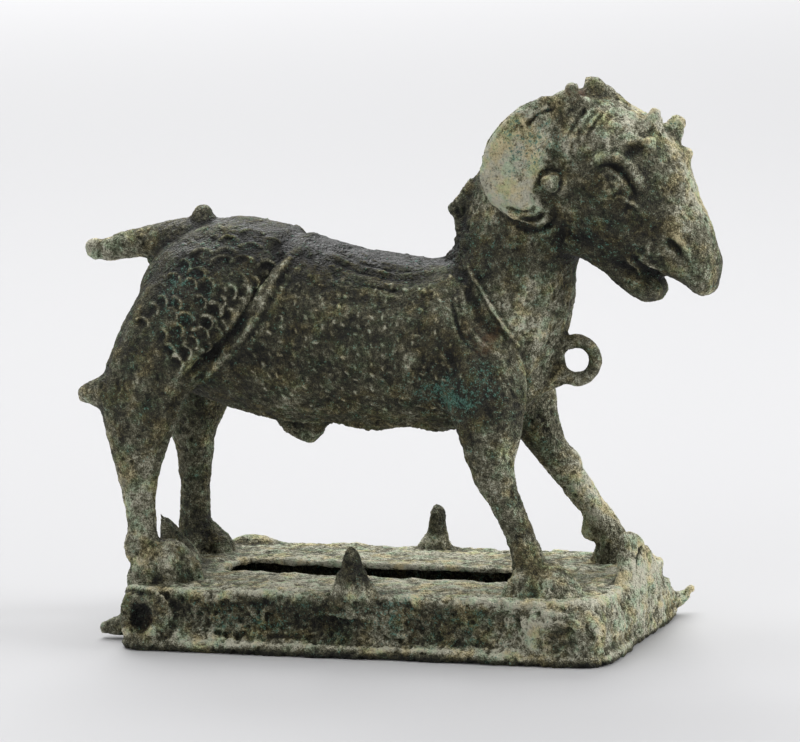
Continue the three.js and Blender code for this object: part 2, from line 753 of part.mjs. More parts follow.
/** A named mesh of one casting in its own bronze. */
function casting(name, made, color, roughness) {
  const bronze = new THREE.MeshStandardMaterial({ color, roughness, metalness: 0.5 });
  const mesh = new THREE.Mesh(geometryOf(made), bronze);
  mesh.name = name;
  return mesh;
}

const model = new THREE.Group();
model.add(casting("ram", buildRam(), 0x4a4a3c, 0.6));
model.add(casting("plinth", buildPlinth(), 0x5c5b4a, 0.75));

const extent = new THREE.Box3().setFromObject(model);
const middle = extent.getCenter(new THREE.Vector3());
model.position.set(-middle.x, -middle.y, -extent.min.z);

export default model;
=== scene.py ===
"""The looks of a cast bronze ram on its hollow plinth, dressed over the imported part.

Sizes whose comment or name says millimetres are in the drawing's own axes, which cross a little beside the
middle of the footprint. Everything that Blender keeps is in metres, in the part's own frame.
"""

import logging
import math
from dataclasses import dataclass
from enum import Enum

import bpy
import numpy as np
from mathutils import Matrix, Vector
from mathutils.bvhtree import BVHTree


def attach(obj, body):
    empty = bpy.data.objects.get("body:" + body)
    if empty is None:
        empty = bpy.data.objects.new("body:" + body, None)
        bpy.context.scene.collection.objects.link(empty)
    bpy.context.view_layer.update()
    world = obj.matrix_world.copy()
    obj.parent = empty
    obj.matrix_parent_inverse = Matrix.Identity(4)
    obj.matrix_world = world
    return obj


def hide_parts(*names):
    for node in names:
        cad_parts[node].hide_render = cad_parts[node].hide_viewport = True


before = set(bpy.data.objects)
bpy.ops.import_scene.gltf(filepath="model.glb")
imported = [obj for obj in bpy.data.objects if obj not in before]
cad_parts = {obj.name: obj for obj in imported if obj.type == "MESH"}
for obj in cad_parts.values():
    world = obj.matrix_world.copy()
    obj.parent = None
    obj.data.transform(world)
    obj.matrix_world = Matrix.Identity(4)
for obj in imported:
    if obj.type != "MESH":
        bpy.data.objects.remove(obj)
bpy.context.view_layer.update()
LOG = logging.getLogger("ram")

MM = 0.001
DRAWING_SHIFT = np.array([1.563, 0.308, 0.0])
PLINTH_TOP = 19.5
# The sign of y on the photographed side and on the other one.
NEAR = -1
FAR = 1
BOTH = (NEAR, FAR)
# Lines are cast on the skin from beside it: how far out they start and how far they reach, in metres.
CAST_START = 0.12
CAST_REACH = 0.2
# The distances between a line's points before and after it is cast, in millimetres.
LOOSE_GAP = 1.0
CLOSE_GAP = 0.3
# A line is felt this many half widths out, wear changes this share of its width, and its ends keep this much.
LINE_REACH = 3.0
WORN_WIDTH = 0.25
END_SHARE = 1e-3
# Curls: how far beside the middle plane their grid starts, in metres, the least share of the skin's normal that
# looks sideways where they are kept, the points of an arc, and the range of their sizes.
GRID_START = 0.1
STEEPEST = 0.12
ARC_POINTS = 9
CURL_SIZES = (0.75, 1.2)
# The table behind the smooth random values.
TABLE_SIZE = 4096
PRIMES = (73856093, 19349663, 83492791)
FINE_NET = 0.5

Place = tuple[float, float]
Spot = tuple[float, float, float]


def smoothstep(low: float, high: float, values: np.ndarray) -> np.ndarray:
    """Rises from 0 at low to 1 at high without a corner."""
    t = np.clip((values - low) / (high - low), 0.0, 1.0)
    return t * t * (3.0 - 2.0 * t)


def curve_through(places: np.ndarray, gap: float) -> np.ndarray:
    """Lays evenly close points on a smooth curve.

    Args:
        places: The points that the curve passes, one a row.
        gap: The largest distance between two of the points that come back.

    Returns:
        The close points, one a row.
    """
    if len(places) < 2:
        return places
    padded = np.vstack([2 * places[0] - places[1], places, 2 * places[-1] - places[-2]])
    rows = []
    for i in range(1, len(padded) - 2):
        a, b, c, d = padded[i - 1 : i + 3]
        count = max(2, int(np.linalg.norm(c - b) / gap) + 1)
        t = np.linspace(0.0, 1.0, count, endpoint=False)[:, None]
        rows.append(
            0.5 * (2 * b + (c - a) * t + (2 * a - 5 * b + 4 * c - d) * t**2 + (3 * b - a - 3 * c + d) * t**3)
        )
    rows.append(padded[-2][None, :])
    return np.vstack(rows)


def uneven(points: np.ndarray, size: float, seed: int) -> np.ndarray:
    """Smooth random values from 0 to 1 that change over about a size.

    Args:
        points: The points to look at, one a row.
        size: The distance over which the values change.
        seed: What makes one field differ from another.

    Returns:
        A value for each point.
    """
    table = np.random.default_rng(seed).random(TABLE_SIZE)
    cell = np.floor(points / size).astype(np.int64)
    part = points / size - cell
    part = part * part * (3.0 - 2.0 * part)
    result = np.zeros(len(points))
    for corner in np.ndindex(2, 2, 2):
        weight = np.prod(np.where(np.array(corner), part, 1.0 - part), axis=1)
        x, y, z = (cell + np.array(corner)).T * np.array(PRIMES)[:, None]
        result += weight * table[(x ^ y ^ z) % TABLE_SIZE]
    return result


# ---- The skin and the chaser's marks on it


class Skin:
    """A closed surface as arrays in drawing millimetres, with the moves that a sculptor makes on it."""

    def __init__(self, piece: bpy.types.Object) -> None:
        """Reads the surface of a piece.

        Args:
            piece: The piece, with a plain mesh.
        """
        self.piece = piece
        mesh = piece.data
        count = len(mesh.vertices)
        flat = np.empty(count * 3, dtype=np.float32)
        mesh.vertices.foreach_get("co", flat)
        self.points = flat.reshape(-1, 3).astype(float) / MM + DRAWING_SHIFT
        pairs = np.empty(len(mesh.edges) * 2, dtype=np.int32)
        mesh.edges.foreach_get("vertices", pairs)
        self.starts, self.ends = pairs.reshape(-1, 2).T.copy()
        self.valence = np.bincount(self.starts, minlength=count) + np.bincount(self.ends, minlength=count)

    def normals(self) -> np.ndarray:
        """The surface's outward normals at its points as they are now.

        Returns:
            A unit vector for each point, one a row.
        """
        self.write()
        flat = np.empty(len(self.points) * 3, dtype=np.float32)
        self.piece.data.vertex_normals.foreach_get("vector", flat)
        return flat.reshape(-1, 3).astype(float)

    def write(self) -> None:
        """Puts the points back into the piece."""
        flat = ((self.points - DRAWING_SHIFT) * MM).astype(np.float32).ravel()
        self.piece.data.vertices.foreach_set("co", flat)
        self.piece.data.update()

    def around(self, values: np.ndarray) -> np.ndarray:
        """The mean of each point's neighbours, for one value or three a point.

        Args:
            values: One value or three for each point, one point a row.

        Returns:
            The means, in the same form.
        """
        count = len(values)
        columns = values.reshape(count, -1)
        total = np.empty_like(columns)
        for k in range(columns.shape[1]):
            column = columns[:, k]
            total[:, k] = np.bincount(self.starts, column[self.ends], minlength=count)
            total[:, k] += np.bincount(self.ends, column[self.starts], minlength=count)
        total /= np.maximum(self.valence, 1)[:, None]
        return total.reshape(values.shape)

    def blurred(self, values: np.ndarray, rounds: int) -> np.ndarray:
        """Spreads values over the surface, further with more rounds.

        Args:
            values: One value or three for each point.
            rounds: How many times each point takes half of what lies around it.

        Returns:
            The softer values.
        """
        for _ in range(rounds):
            values = 0.5 * values + 0.5 * self.around(values)
        return values

    def grown(self, values: np.ndarray, rounds: int) -> np.ndarray:
        """Lets high values spread to their neighbours.

        Args:
            values: One value for each point.
            rounds: How many edges far they spread.

        Returns:
            The values with the high ones widened.
        """
        for _ in range(rounds):
            wider = values.copy()
            np.maximum.at(wider, self.starts, values[self.ends])
            np.maximum.at(wider, self.ends, values[self.starts])
            values = wider
        return values

    def eased(self, share: np.ndarray, rounds: int) -> np.ndarray:
        """Points with their facets melted, as far as share lets them, and their bulk kept.

        Args:
            share: How much each point follows, from 0 to 1.
            rounds: How many times each point moves to the middle of its neighbours.

        Returns:
            The new points, one a row.
        """
        melted = self.points.copy()
        for _ in range(rounds):
            melted += share[:, None] * (self.around(melted) - melted)
        lost = self.points - melted
        return melted + self.blurred(lost, rounds) * share[:, None]

    def tree(self) -> BVHTree:
        """A search tree of the surface in metres."""
        self.write()
        return BVHTree.FromObject(self.piece, bpy.context.evaluated_depsgraph_get())


@dataclass(frozen=True)
class Stroke:
    """A raised or sunk line, drawn in the side view in millimetres and laid on the sides it names."""

    places: tuple[Place, ...]
    half: float
    rise: float
    sides: tuple[int, ...] = BOTH
    taper: float = 0.25
    wear: float = 0.55
    wear_size: float = 3.2
    wear_seed: int = 5

    def on_skin(self, tree: BVHTree, side: int) -> np.ndarray:
        """Casts the line on one side of a skin.

        Args:
            tree: The skin's search tree, in metres.
            side: NEAR or FAR.

        Returns:
            The points hit, in drawing millimetres, one a row.
        """
        hits = []
        for x, z in curve_through(np.array(self.places), LOOSE_GAP):
            start = (np.array([x, side * CAST_START / MM, z]) - DRAWING_SHIFT) * MM
            hit = tree.ray_cast(Vector(start), Vector((0.0, -side, 0.0)), CAST_REACH)[0]
            if hit is not None:
                hits.append(np.array(hit) / MM + DRAWING_SHIFT)
        return curve_through(np.array(hits).reshape(-1, 3), CLOSE_GAP)

    def height(self, skin: Skin, tree: BVHTree) -> np.ndarray:
        """How far each point of a skin moves out, in millimetres.

        Args:
            skin: The skin.
            tree: The skin's search tree, in metres.

        Returns:
            A height for each point, below zero where it is cut.
        """
        result = np.zeros(len(skin.points))
        reach = self.half * LINE_REACH
        for side in self.sides:
            line = self.on_skin(tree, side)
            if len(line) == 0:
                continue
            low, high = line.min(axis=0) - reach, line.max(axis=0) + reach
            near = np.nonzero(np.all((skin.points > low) & (skin.points < high), axis=1))[0]
            best = np.full(len(near), np.inf)
            along = np.zeros(len(near))
            for i, point in enumerate(line):
                gap = np.linalg.norm(skin.points[near] - point, axis=1)
                closer = gap < best
                best[closer] = gap[closer]
                along[closer] = i / max(len(line) - 1, 1)
            worn = 1.0 - self.wear + 2.0 * self.wear * uneven(skin.points[near], self.wear_size, self.wear_seed)
            width = self.half * (1.0 - WORN_WIDTH + WORN_WIDTH * worn)
            body = np.exp(-((best / width) ** 2)) * worn
            if self.taper > 0:
                body *= smoothstep(0.0, self.taper, np.minimum(along, 1.0 - along) + END_SHARE)
            result[near] += self.rise * body
        return result


@dataclass(frozen=True)
class Patch:
    """A soft-edged region of a deposit or a wear, in drawing millimetres."""

    centre: Spot
    radii: Spot
    amount: float

    def cover(self, points: np.ndarray) -> np.ndarray:
        """How strongly the patch lies on each point."""
        offset = (points - np.array(self.centre)) / np.array(self.radii)
        return self.amount * np.exp(-np.sum(offset**2, axis=1))


class Dent(Patch):
    """A round hollow, or a knob where its amount is above zero, in drawing millimetres."""

    def height(self, skin: Skin, tree: BVHTree) -> np.ndarray:
        """How far each point of a skin moves out, in millimetres. The tree is only for strokes."""
        return self.cover(skin.points)


def both_sides(kind: type[Patch], centre: Spot, radii: Spot, amount: float) -> list[Patch]:
    """The same patch or dent on the near side and mirrored on the far side.

    Args:
        kind: Patch or Dent.
        centre: Its middle, with y as its distance from the middle plane.
        radii: Its half widths.
        amount: How strong or how high it is.

    Returns:
        The near one and the far one.
    """
    x, y, z = centre
    return [kind((x, side * y, z), radii, amount) for side in BOTH]


class Bloom(Enum):
    """What the ground left on the bronze, each kept as an attribute of the mesh. The buff layer also holds
    painted light and painted shade.
    """

    # Buff deposit, with painted light on lit faces and painted shade under parts and in creases in the same
    # layer.
    POWDER_AND_SHADING = "powder_and_shading"
    VERDIGRIS = "verdigris"
    GLOSS = "gloss"
    RUST = "rust"


# ---- Node trees


class Bench:
    """A node tree being laid out, with short calls for the nodes that come up most."""

    def __init__(self, tree: bpy.types.NodeTree) -> None:
        """Starts on a tree."""
        self.tree = tree

    def add(self, kind: str, inputs: dict | None = None, **settings: object) -> bpy.types.Node:
        """Adds a node.

        Args:
            kind: The node's type name.
            inputs: Values or sockets for the inputs, by name or number.
            settings: The node's own properties.

        Returns:
            The new node.
        """
        node = self.tree.nodes.new(kind)
        for name, value in settings.items():
            setattr(node, name, value)
        for key, value in (inputs or {}).items():
            if isinstance(value, bpy.types.NodeSocket):
                self.tree.links.new(value, node.inputs[key])
            else:
                node.inputs[key].default_value = value
        return node

    def math(self, operation: str, *values: object, clamp: bool = False) -> bpy.types.NodeSocket:
        """A Math node's result."""
        node = self.add("ShaderNodeMath", dict(enumerate(values)), operation=operation, use_clamp=clamp)
        return node.outputs[0]

    def vector(self, operation: str, *values: object) -> bpy.types.NodeSocket:
        """A Vector Math node's vector."""
        return self.add("ShaderNodeVectorMath", dict(enumerate(values)), operation=operation).outputs["Vector"]

    def total(self, *terms: tuple[object, float]) -> bpy.types.NodeSocket:
        """The sum of values, each with its weight.

        Args:
            terms: Pairs of a value or socket and its weight.

        Returns:
            The sum's socket.
        """
        result: object = 0.0
        for value, weight in terms:
            result = self.math("MULTIPLY_ADD", value, weight, result)
        return result

    def noise(self, at: object, scale: object, detail: float, roughness: float = 0.5) -> bpy.types.NodeSocket:
        """A Noise Texture node's value.

        Args:
            at: Where it is looked up.
            scale: How many features there are a metre.
            detail: How many finer layers lie on the first.
            roughness: How strong those layers are.

        Returns:
            The value, about 0.5 on average.
        """
        inputs = {"Vector": at, "Scale": scale, "Detail": detail, "Roughness": roughness}
        return self.add("ShaderNodeTexNoise", inputs).outputs[0]

    def stored(self, name: str, kind: str = "FLOAT") -> bpy.types.NodeSocket:
        """An attribute's value in a geometry tree."""
        return self.add("GeometryNodeInputNamedAttribute", {"Name": name}, data_type=kind).outputs[0]

    def store(self, geometry: object, name: str, value: object, kind: str = "FLOAT") -> bpy.types.NodeSocket:
        """A geometry that carries a value under a name.

        Args:
            geometry: The geometry.
            name: The attribute's name.
            value: What it holds.
            kind: Its data type.

        Returns:
            The geometry with the attribute.
        """
        inputs = {"Geometry": geometry, "Name": name, "Value": value}
        return self.add("GeometryNodeStoreNamedAttribute", inputs, data_type=kind).outputs[0]

    def random(self, low: object, high: object, seed: object) -> bpy.types.NodeSocket:
        """A random number for each element."""
        return self.add("FunctionNodeRandomValue", {2: low, 3: high, "Seed": seed}, data_type="FLOAT").outputs[1]

    def swelled(self, geometry: object, height: object) -> bpy.types.NodeSocket:
        """A geometry whose points are moved out along their normals.

        Args:
            geometry: The geometry.
            height: How far its points move, in metres.

        Returns:
            The new geometry.
        """
        normal = self.add("GeometryNodeInputNormal").outputs[0]
        lift = self.add("ShaderNodeVectorMath", {0: normal, "Scale": height}, operation="SCALE").outputs[0]
        return self.add("GeometryNodeSetPosition", {"Geometry": geometry, "Offset": lift}).outputs[0]

    def spread(self, value: object, low: float, high: float, to: Place = (0.0, 1.0)) -> bpy.types.NodeSocket:
        """A value spread from one range to another with soft ends.

        Args:
            value: The value.
            low: Where the first range starts.
            high: Where the first range ends.
            to: The second range.

        Returns:
            The new value.
        """
        node = self.add(
            "ShaderNodeMapRange",
            {"Value": value, "From Min": low, "From Max": high, "To Min": to[0], "To Max": to[1]},
            interpolation_type="SMOOTHSTEP",
        )
        return node.outputs["Result"]


class ReliefTree:
    """A geometry tree with named inputs for its sizes, put on a piece and made plain."""

    def __init__(self, name: str) -> None:
        """Starts a tree with a way in and a way out for the geometry.

        Args:
            name: The tree's name.
        """
        self.tree = bpy.data.node_groups.new(name, "GeometryNodeTree")
        self.bench = Bench(self.tree)
        self.sockets: dict[str, str] = {}
        self.values: dict[str, object] = {}
        self.tree.interface.new_socket("Geometry", in_out="INPUT", socket_type="NodeSocketGeometry")
        self.tree.interface.new_socket("Geometry", in_out="OUTPUT", socket_type="NodeSocketGeometry")
        self.way_in = self.tree.nodes.new("NodeGroupInput")
        self.way_out = self.tree.nodes.new("NodeGroupOutput")

    def named(self, name: str, kind: str, value: object) -> bpy.types.NodeSocket:
        """Adds a named input.

        Args:
            name: What the input is called.
            kind: Float, Int, Vector or Material.
            value: What the piece gives it.

        Returns:
            The socket that brings the value into the tree.
        """
        socket = self.tree.interface.new_socket(name, in_out="INPUT", socket_type=f"NodeSocket{kind}")
        self.sockets[name] = socket.identifier
        self.values[name] = value
        return self.way_in.outputs[name]

    def close(self, geometry: bpy.types.NodeSocket, finish: bpy.types.Material) -> None:
        """Ends the tree with real geometry that carries the finish.

        Args:
            geometry: What the tree has made.
            finish: The material that it gets.
        """
        real = self.bench.add("GeometryNodeRealizeInstances", {"Geometry": geometry})
        dressed = self.bench.add(
            "GeometryNodeSetMaterial",
            {"Geometry": real.outputs[0], "Material": self.named("Finish", "Material", finish)},
        )
        self.tree.links.new(dressed.outputs[0], self.way_out.inputs[0])

    def apply(self, piece: bpy.types.Object) -> None:
        """Runs the tree on a piece and keeps the result as its plain mesh.

        Args:
            piece: The piece that the tree changes.
        """
        modifier = piece.modifiers.new(self.tree.name, "NODES")
        modifier.node_group = self.tree
        for name, identifier in self.sockets.items():
            modifier[identifier] = self.values[name]
        make_plain(piece)


def make_plain(piece: bpy.types.Object) -> None:
    """Replaces a piece's mesh by what its modifiers make, and takes the modifiers off.

    Args:
        piece: The object.
    """
    evaluated = piece.evaluated_get(bpy.context.evaluated_depsgraph_get())
    mesh = bpy.data.meshes.new_from_object(evaluated)
    piece.modifiers.clear()
    old = piece.data
    piece.data = mesh
    mesh.name = piece.name
    bpy.data.meshes.remove(old)


@dataclass(frozen=True)
class CurlRows:
    """Rows of small raised arcs on one side, placed by a grid that is cast on the skin. Sizes in millimetres."""

    name: str
    middle: Place
    lean: float
    rows: tuple[int, int]
    pitch: Place
    radius: float
    sweep: float
    turn: float
    spin: float
    half: float
    rise: float
    stray: float
    side: int
    seed: int

    def cast_grid(self, relief: ReliefTree, seed: bpy.types.NodeSocket) -> bpy.types.NodeSocket:
        """Lays a staggered, slightly strayed grid of points beside the piece and casts it on the skin.

        Args:
            relief: The tree being laid out.
            seed: The seed's socket.

        Returns:
            The points, with the skin's normal as "lay" and whether they count as "kept".
        """
        bench = relief.bench
        across = relief.named("Columns", "Int", self.rows[0])
        down = relief.named("Rows", "Int", self.rows[1])
        pitch_across = relief.named("Column Pitch", "Float", self.pitch[0] * MM)
        pitch_down = relief.named("Row Pitch", "Float", self.pitch[1] * MM)
        stray = self.stray * MM
        least = relief.named("Least Stray", "Vector", (-stray, -stray, 0.0))
        most = relief.named("Most Stray", "Vector", (stray, stray, 0.0))
        middle = (np.array([self.middle[0], 0.0, self.middle[1]]) - DRAWING_SHIFT) * MM
        centre = relief.named("Middle", "Vector", (middle[0], self.side * GRID_START, middle[2]))
        upright = relief.named("Upright", "Vector", (math.radians(90.0), 0.0, 0.0))
        tilt = relief.named("Tilt", "Vector", (0.0, math.radians(self.lean), 0.0))
        grid = bench.add(
            "GeometryNodeMeshGrid",
            {
                "Size X": bench.math("MULTIPLY", bench.math("SUBTRACT", across, 1), pitch_across),
                "Size Y": bench.math("MULTIPLY", bench.math("SUBTRACT", down, 1), pitch_down),
                "Vertices X": across,
                "Vertices Y": down,
            },
        ).outputs[0]
        column = bench.math("FLOOR", bench.math("DIVIDE", bench.add("GeometryNodeInputIndex").outputs[0], down))
        odd = bench.math("MULTIPLY", bench.math("FLOORED_MODULO", column, 2.0), 0.5)
        stagger = bench.add("ShaderNodeCombineXYZ", {"Y": bench.math("MULTIPLY", odd, pitch_down)}).outputs[0]
        between = {0: least, 1: most, "Seed": seed}
        jitter = bench.add("FunctionNodeRandomValue", between, data_type="FLOAT_VECTOR").outputs[0]
        offset = bench.vector("ADD", stagger, jitter)
        points = bench.add("GeometryNodeSetPosition", {"Geometry": grid, "Offset": offset}).outputs[0]
        points = bench.add("GeometryNodeTransform", {"Geometry": points, "Rotation": upright}).outputs[0]
        points = bench.add(
            "GeometryNodeTransform", {"Geometry": points, "Rotation": tilt, "Translation": centre}
        ).outputs[0]
        cast = bench.add(
            "GeometryNodeRaycast",
            {
                "Target Geometry": relief.way_in.outputs[0],
                "Ray Direction": (0.0, -float(self.side), 0.0),
                "Ray Length": CAST_REACH,
            },
        ).outputs
        sideways = bench.add("ShaderNodeSeparateXYZ", {0: cast["Hit Normal"]}).outputs[1]
        facing = bench.math("GREATER_THAN", bench.math("MULTIPLY", sideways, self.side), STEEPEST)
        points = bench.store(points, "lay", cast["Hit Normal"], "FLOAT_VECTOR")
        points = bench.store(points, "kept", bench.math("MULTIPLY", cast["Is Hit"], facing))
        inputs = {"Geometry": points, "Position": cast["Hit Position"]}
        return bench.add("GeometryNodeSetPosition", inputs).outputs[0]

    def arcs(self, relief: ReliefTree, points: object, seed: bpy.types.NodeSocket) -> bpy.types.NodeSocket:
        """Puts an arc flat on the skin at each kept point.

        Args:
            relief: The tree being laid out.
            points: The points on the skin.
            seed: The seed's socket.

        Returns:
            The arcs as thin lines.
        """
        bench = relief.bench
        radius = relief.named("Curl Radius", "Float", self.radius * MM)
        sweep = relief.named("Curl Sweep", "Float", math.radians(self.sweep))
        start = (self.turn if self.side == NEAR else 180.0 - self.turn) - self.sweep / 2
        turn = relief.named("Curl Turn", "Float", math.radians(start))
        spin = relief.named("Turn Jitter", "Float", math.radians(self.spin))
        align = "FunctionNodeAlignRotationToVector"
        flat = bench.add(align, {"Vector": bench.stored("lay", "FLOAT_VECTOR")}, axis="Z").outputs[0]
        up = {"Rotation": flat, "Vector": (0.0, 0.0, 1.0)}
        level = bench.add(align, up, axis="Y", pivot_axis="Z").outputs[0]
        twist = bench.random(bench.math("SUBTRACT", turn, spin), bench.math("ADD", turn, spin), seed)
        own = bench.add("ShaderNodeCombineXYZ", {"Z": twist}).outputs[0]
        euler = bench.add("FunctionNodeEulerToRotation", {0: own}).outputs[0]
        turned = bench.add("FunctionNodeRotateRotation", {0: level, 1: euler}, rotation_space="LOCAL").outputs[0]
        arc = bench.add(
            "GeometryNodeCurveArc",
            {"Resolution": ARC_POINTS, "Radius": radius, "Start Angle": 0.0, "Sweep Angle": sweep},
            mode="RADIUS",
        ).outputs[0]
        laid = bench.add(
            "GeometryNodeInstanceOnPoints",
            {
                "Points": points,
                "Selection": bench.math("GREATER_THAN", bench.stored("kept"), 0.5),
                "Instance": arc,
                "Rotation": turned,
                "Scale": bench.random(*CURL_SIZES, seed),
            },
        ).outputs[0]
        curve = bench.add("GeometryNodeRealizeInstances", {"Geometry": laid}).outputs[0]
        return bench.add("GeometryNodeCurveToMesh", {"Curve": curve}).outputs[0]

    def tree(self, finish: bpy.types.Material) -> ReliefTree:
        """Lays out the tree that raises these arcs on the geometry it gets.

        Args:
            finish: The piece's material.

        Returns:
            The tree, ready to apply.
        """
        relief = ReliefTree(self.name)
        bench = relief.bench
        half = relief.named("Ridge Half Width", "Float", self.half * MM)
        rise = relief.named("Ridge Height", "Float", self.rise * MM)
        seed = relief.named("Seed", "Int", self.seed)
        lines = self.arcs(relief, self.cast_grid(relief, seed), seed)
        nearest = bench.add("GeometryNodeProximity", {0: lines}, target_element="EDGES").outputs["Distance"]
        ratio = bench.math("DIVIDE", nearest, half)
        bell = bench.math("EXPONENT", bench.math("MULTIPLY", bench.math("MULTIPLY", ratio, ratio), -1.0))
        relief.close(bench.swelled(relief.way_in.outputs[0], bench.math("MULTIPLY", bell, rise)), finish)
        return relief


@dataclass(frozen=True)
class Corrosion:
    """The uneven surface that casting and the ground leave. Lengths in millimetres."""

    lump_size: float
    lump_height: float
    grain_size: float
    grain_height: float
    pit_size: float
    pit_depth: float
    pit_range: Place = (0.56, 0.72)

    def tree(self, name: str, finish: bpy.types.Material) -> ReliefTree:
        """Lays out the tree that roughens the geometry it gets.

        Args:
            name: The tree's name.
            finish: The piece's material.

        Returns:
            The tree. Lumps are the same all over, and the rough attribute scales the grain and the pits.
        """
        relief = ReliefTree(name)
        bench = relief.bench
        position = bench.add("GeometryNodeInputPosition").outputs[0]
        values = []
        for kind, size, detail, roughness in (
            ("Lump", self.lump_size, 3.0, 0.5),
            ("Grain", self.grain_size, 4.0, 0.72),
            ("Pit", self.pit_size, 2.0, 0.5),
        ):
            scale = relief.named(f"{kind} Scale", "Float", 1.0 / (size * MM))
            values.append(bench.noise(position, scale, detail, roughness))
        lumps, grain, pits = values
        lump_height = relief.named("Lump Height", "Float", self.lump_height * MM)
        grain_height = relief.named("Grain Height", "Float", self.grain_height * MM)
        pit_depth = relief.named("Pit Depth", "Float", self.pit_depth * MM)
        height = bench.math("MULTIPLY", bench.math("SUBTRACT", lumps, 0.5), lump_height)
        fine = bench.math("MULTIPLY", bench.math("SUBTRACT", grain, 0.5), grain_height)
        deep = bench.math("MULTIPLY", bench.spread(pits, *self.pit_range), pit_depth)
        rough = bench.math("MULTIPLY", bench.math("SUBTRACT", fine, deep), bench.stored("rough"))
        relief.close(bench.swelled(relief.way_in.outputs[0], bench.math("ADD", height, rough)), finish)
        return relief


# ---- Finishes


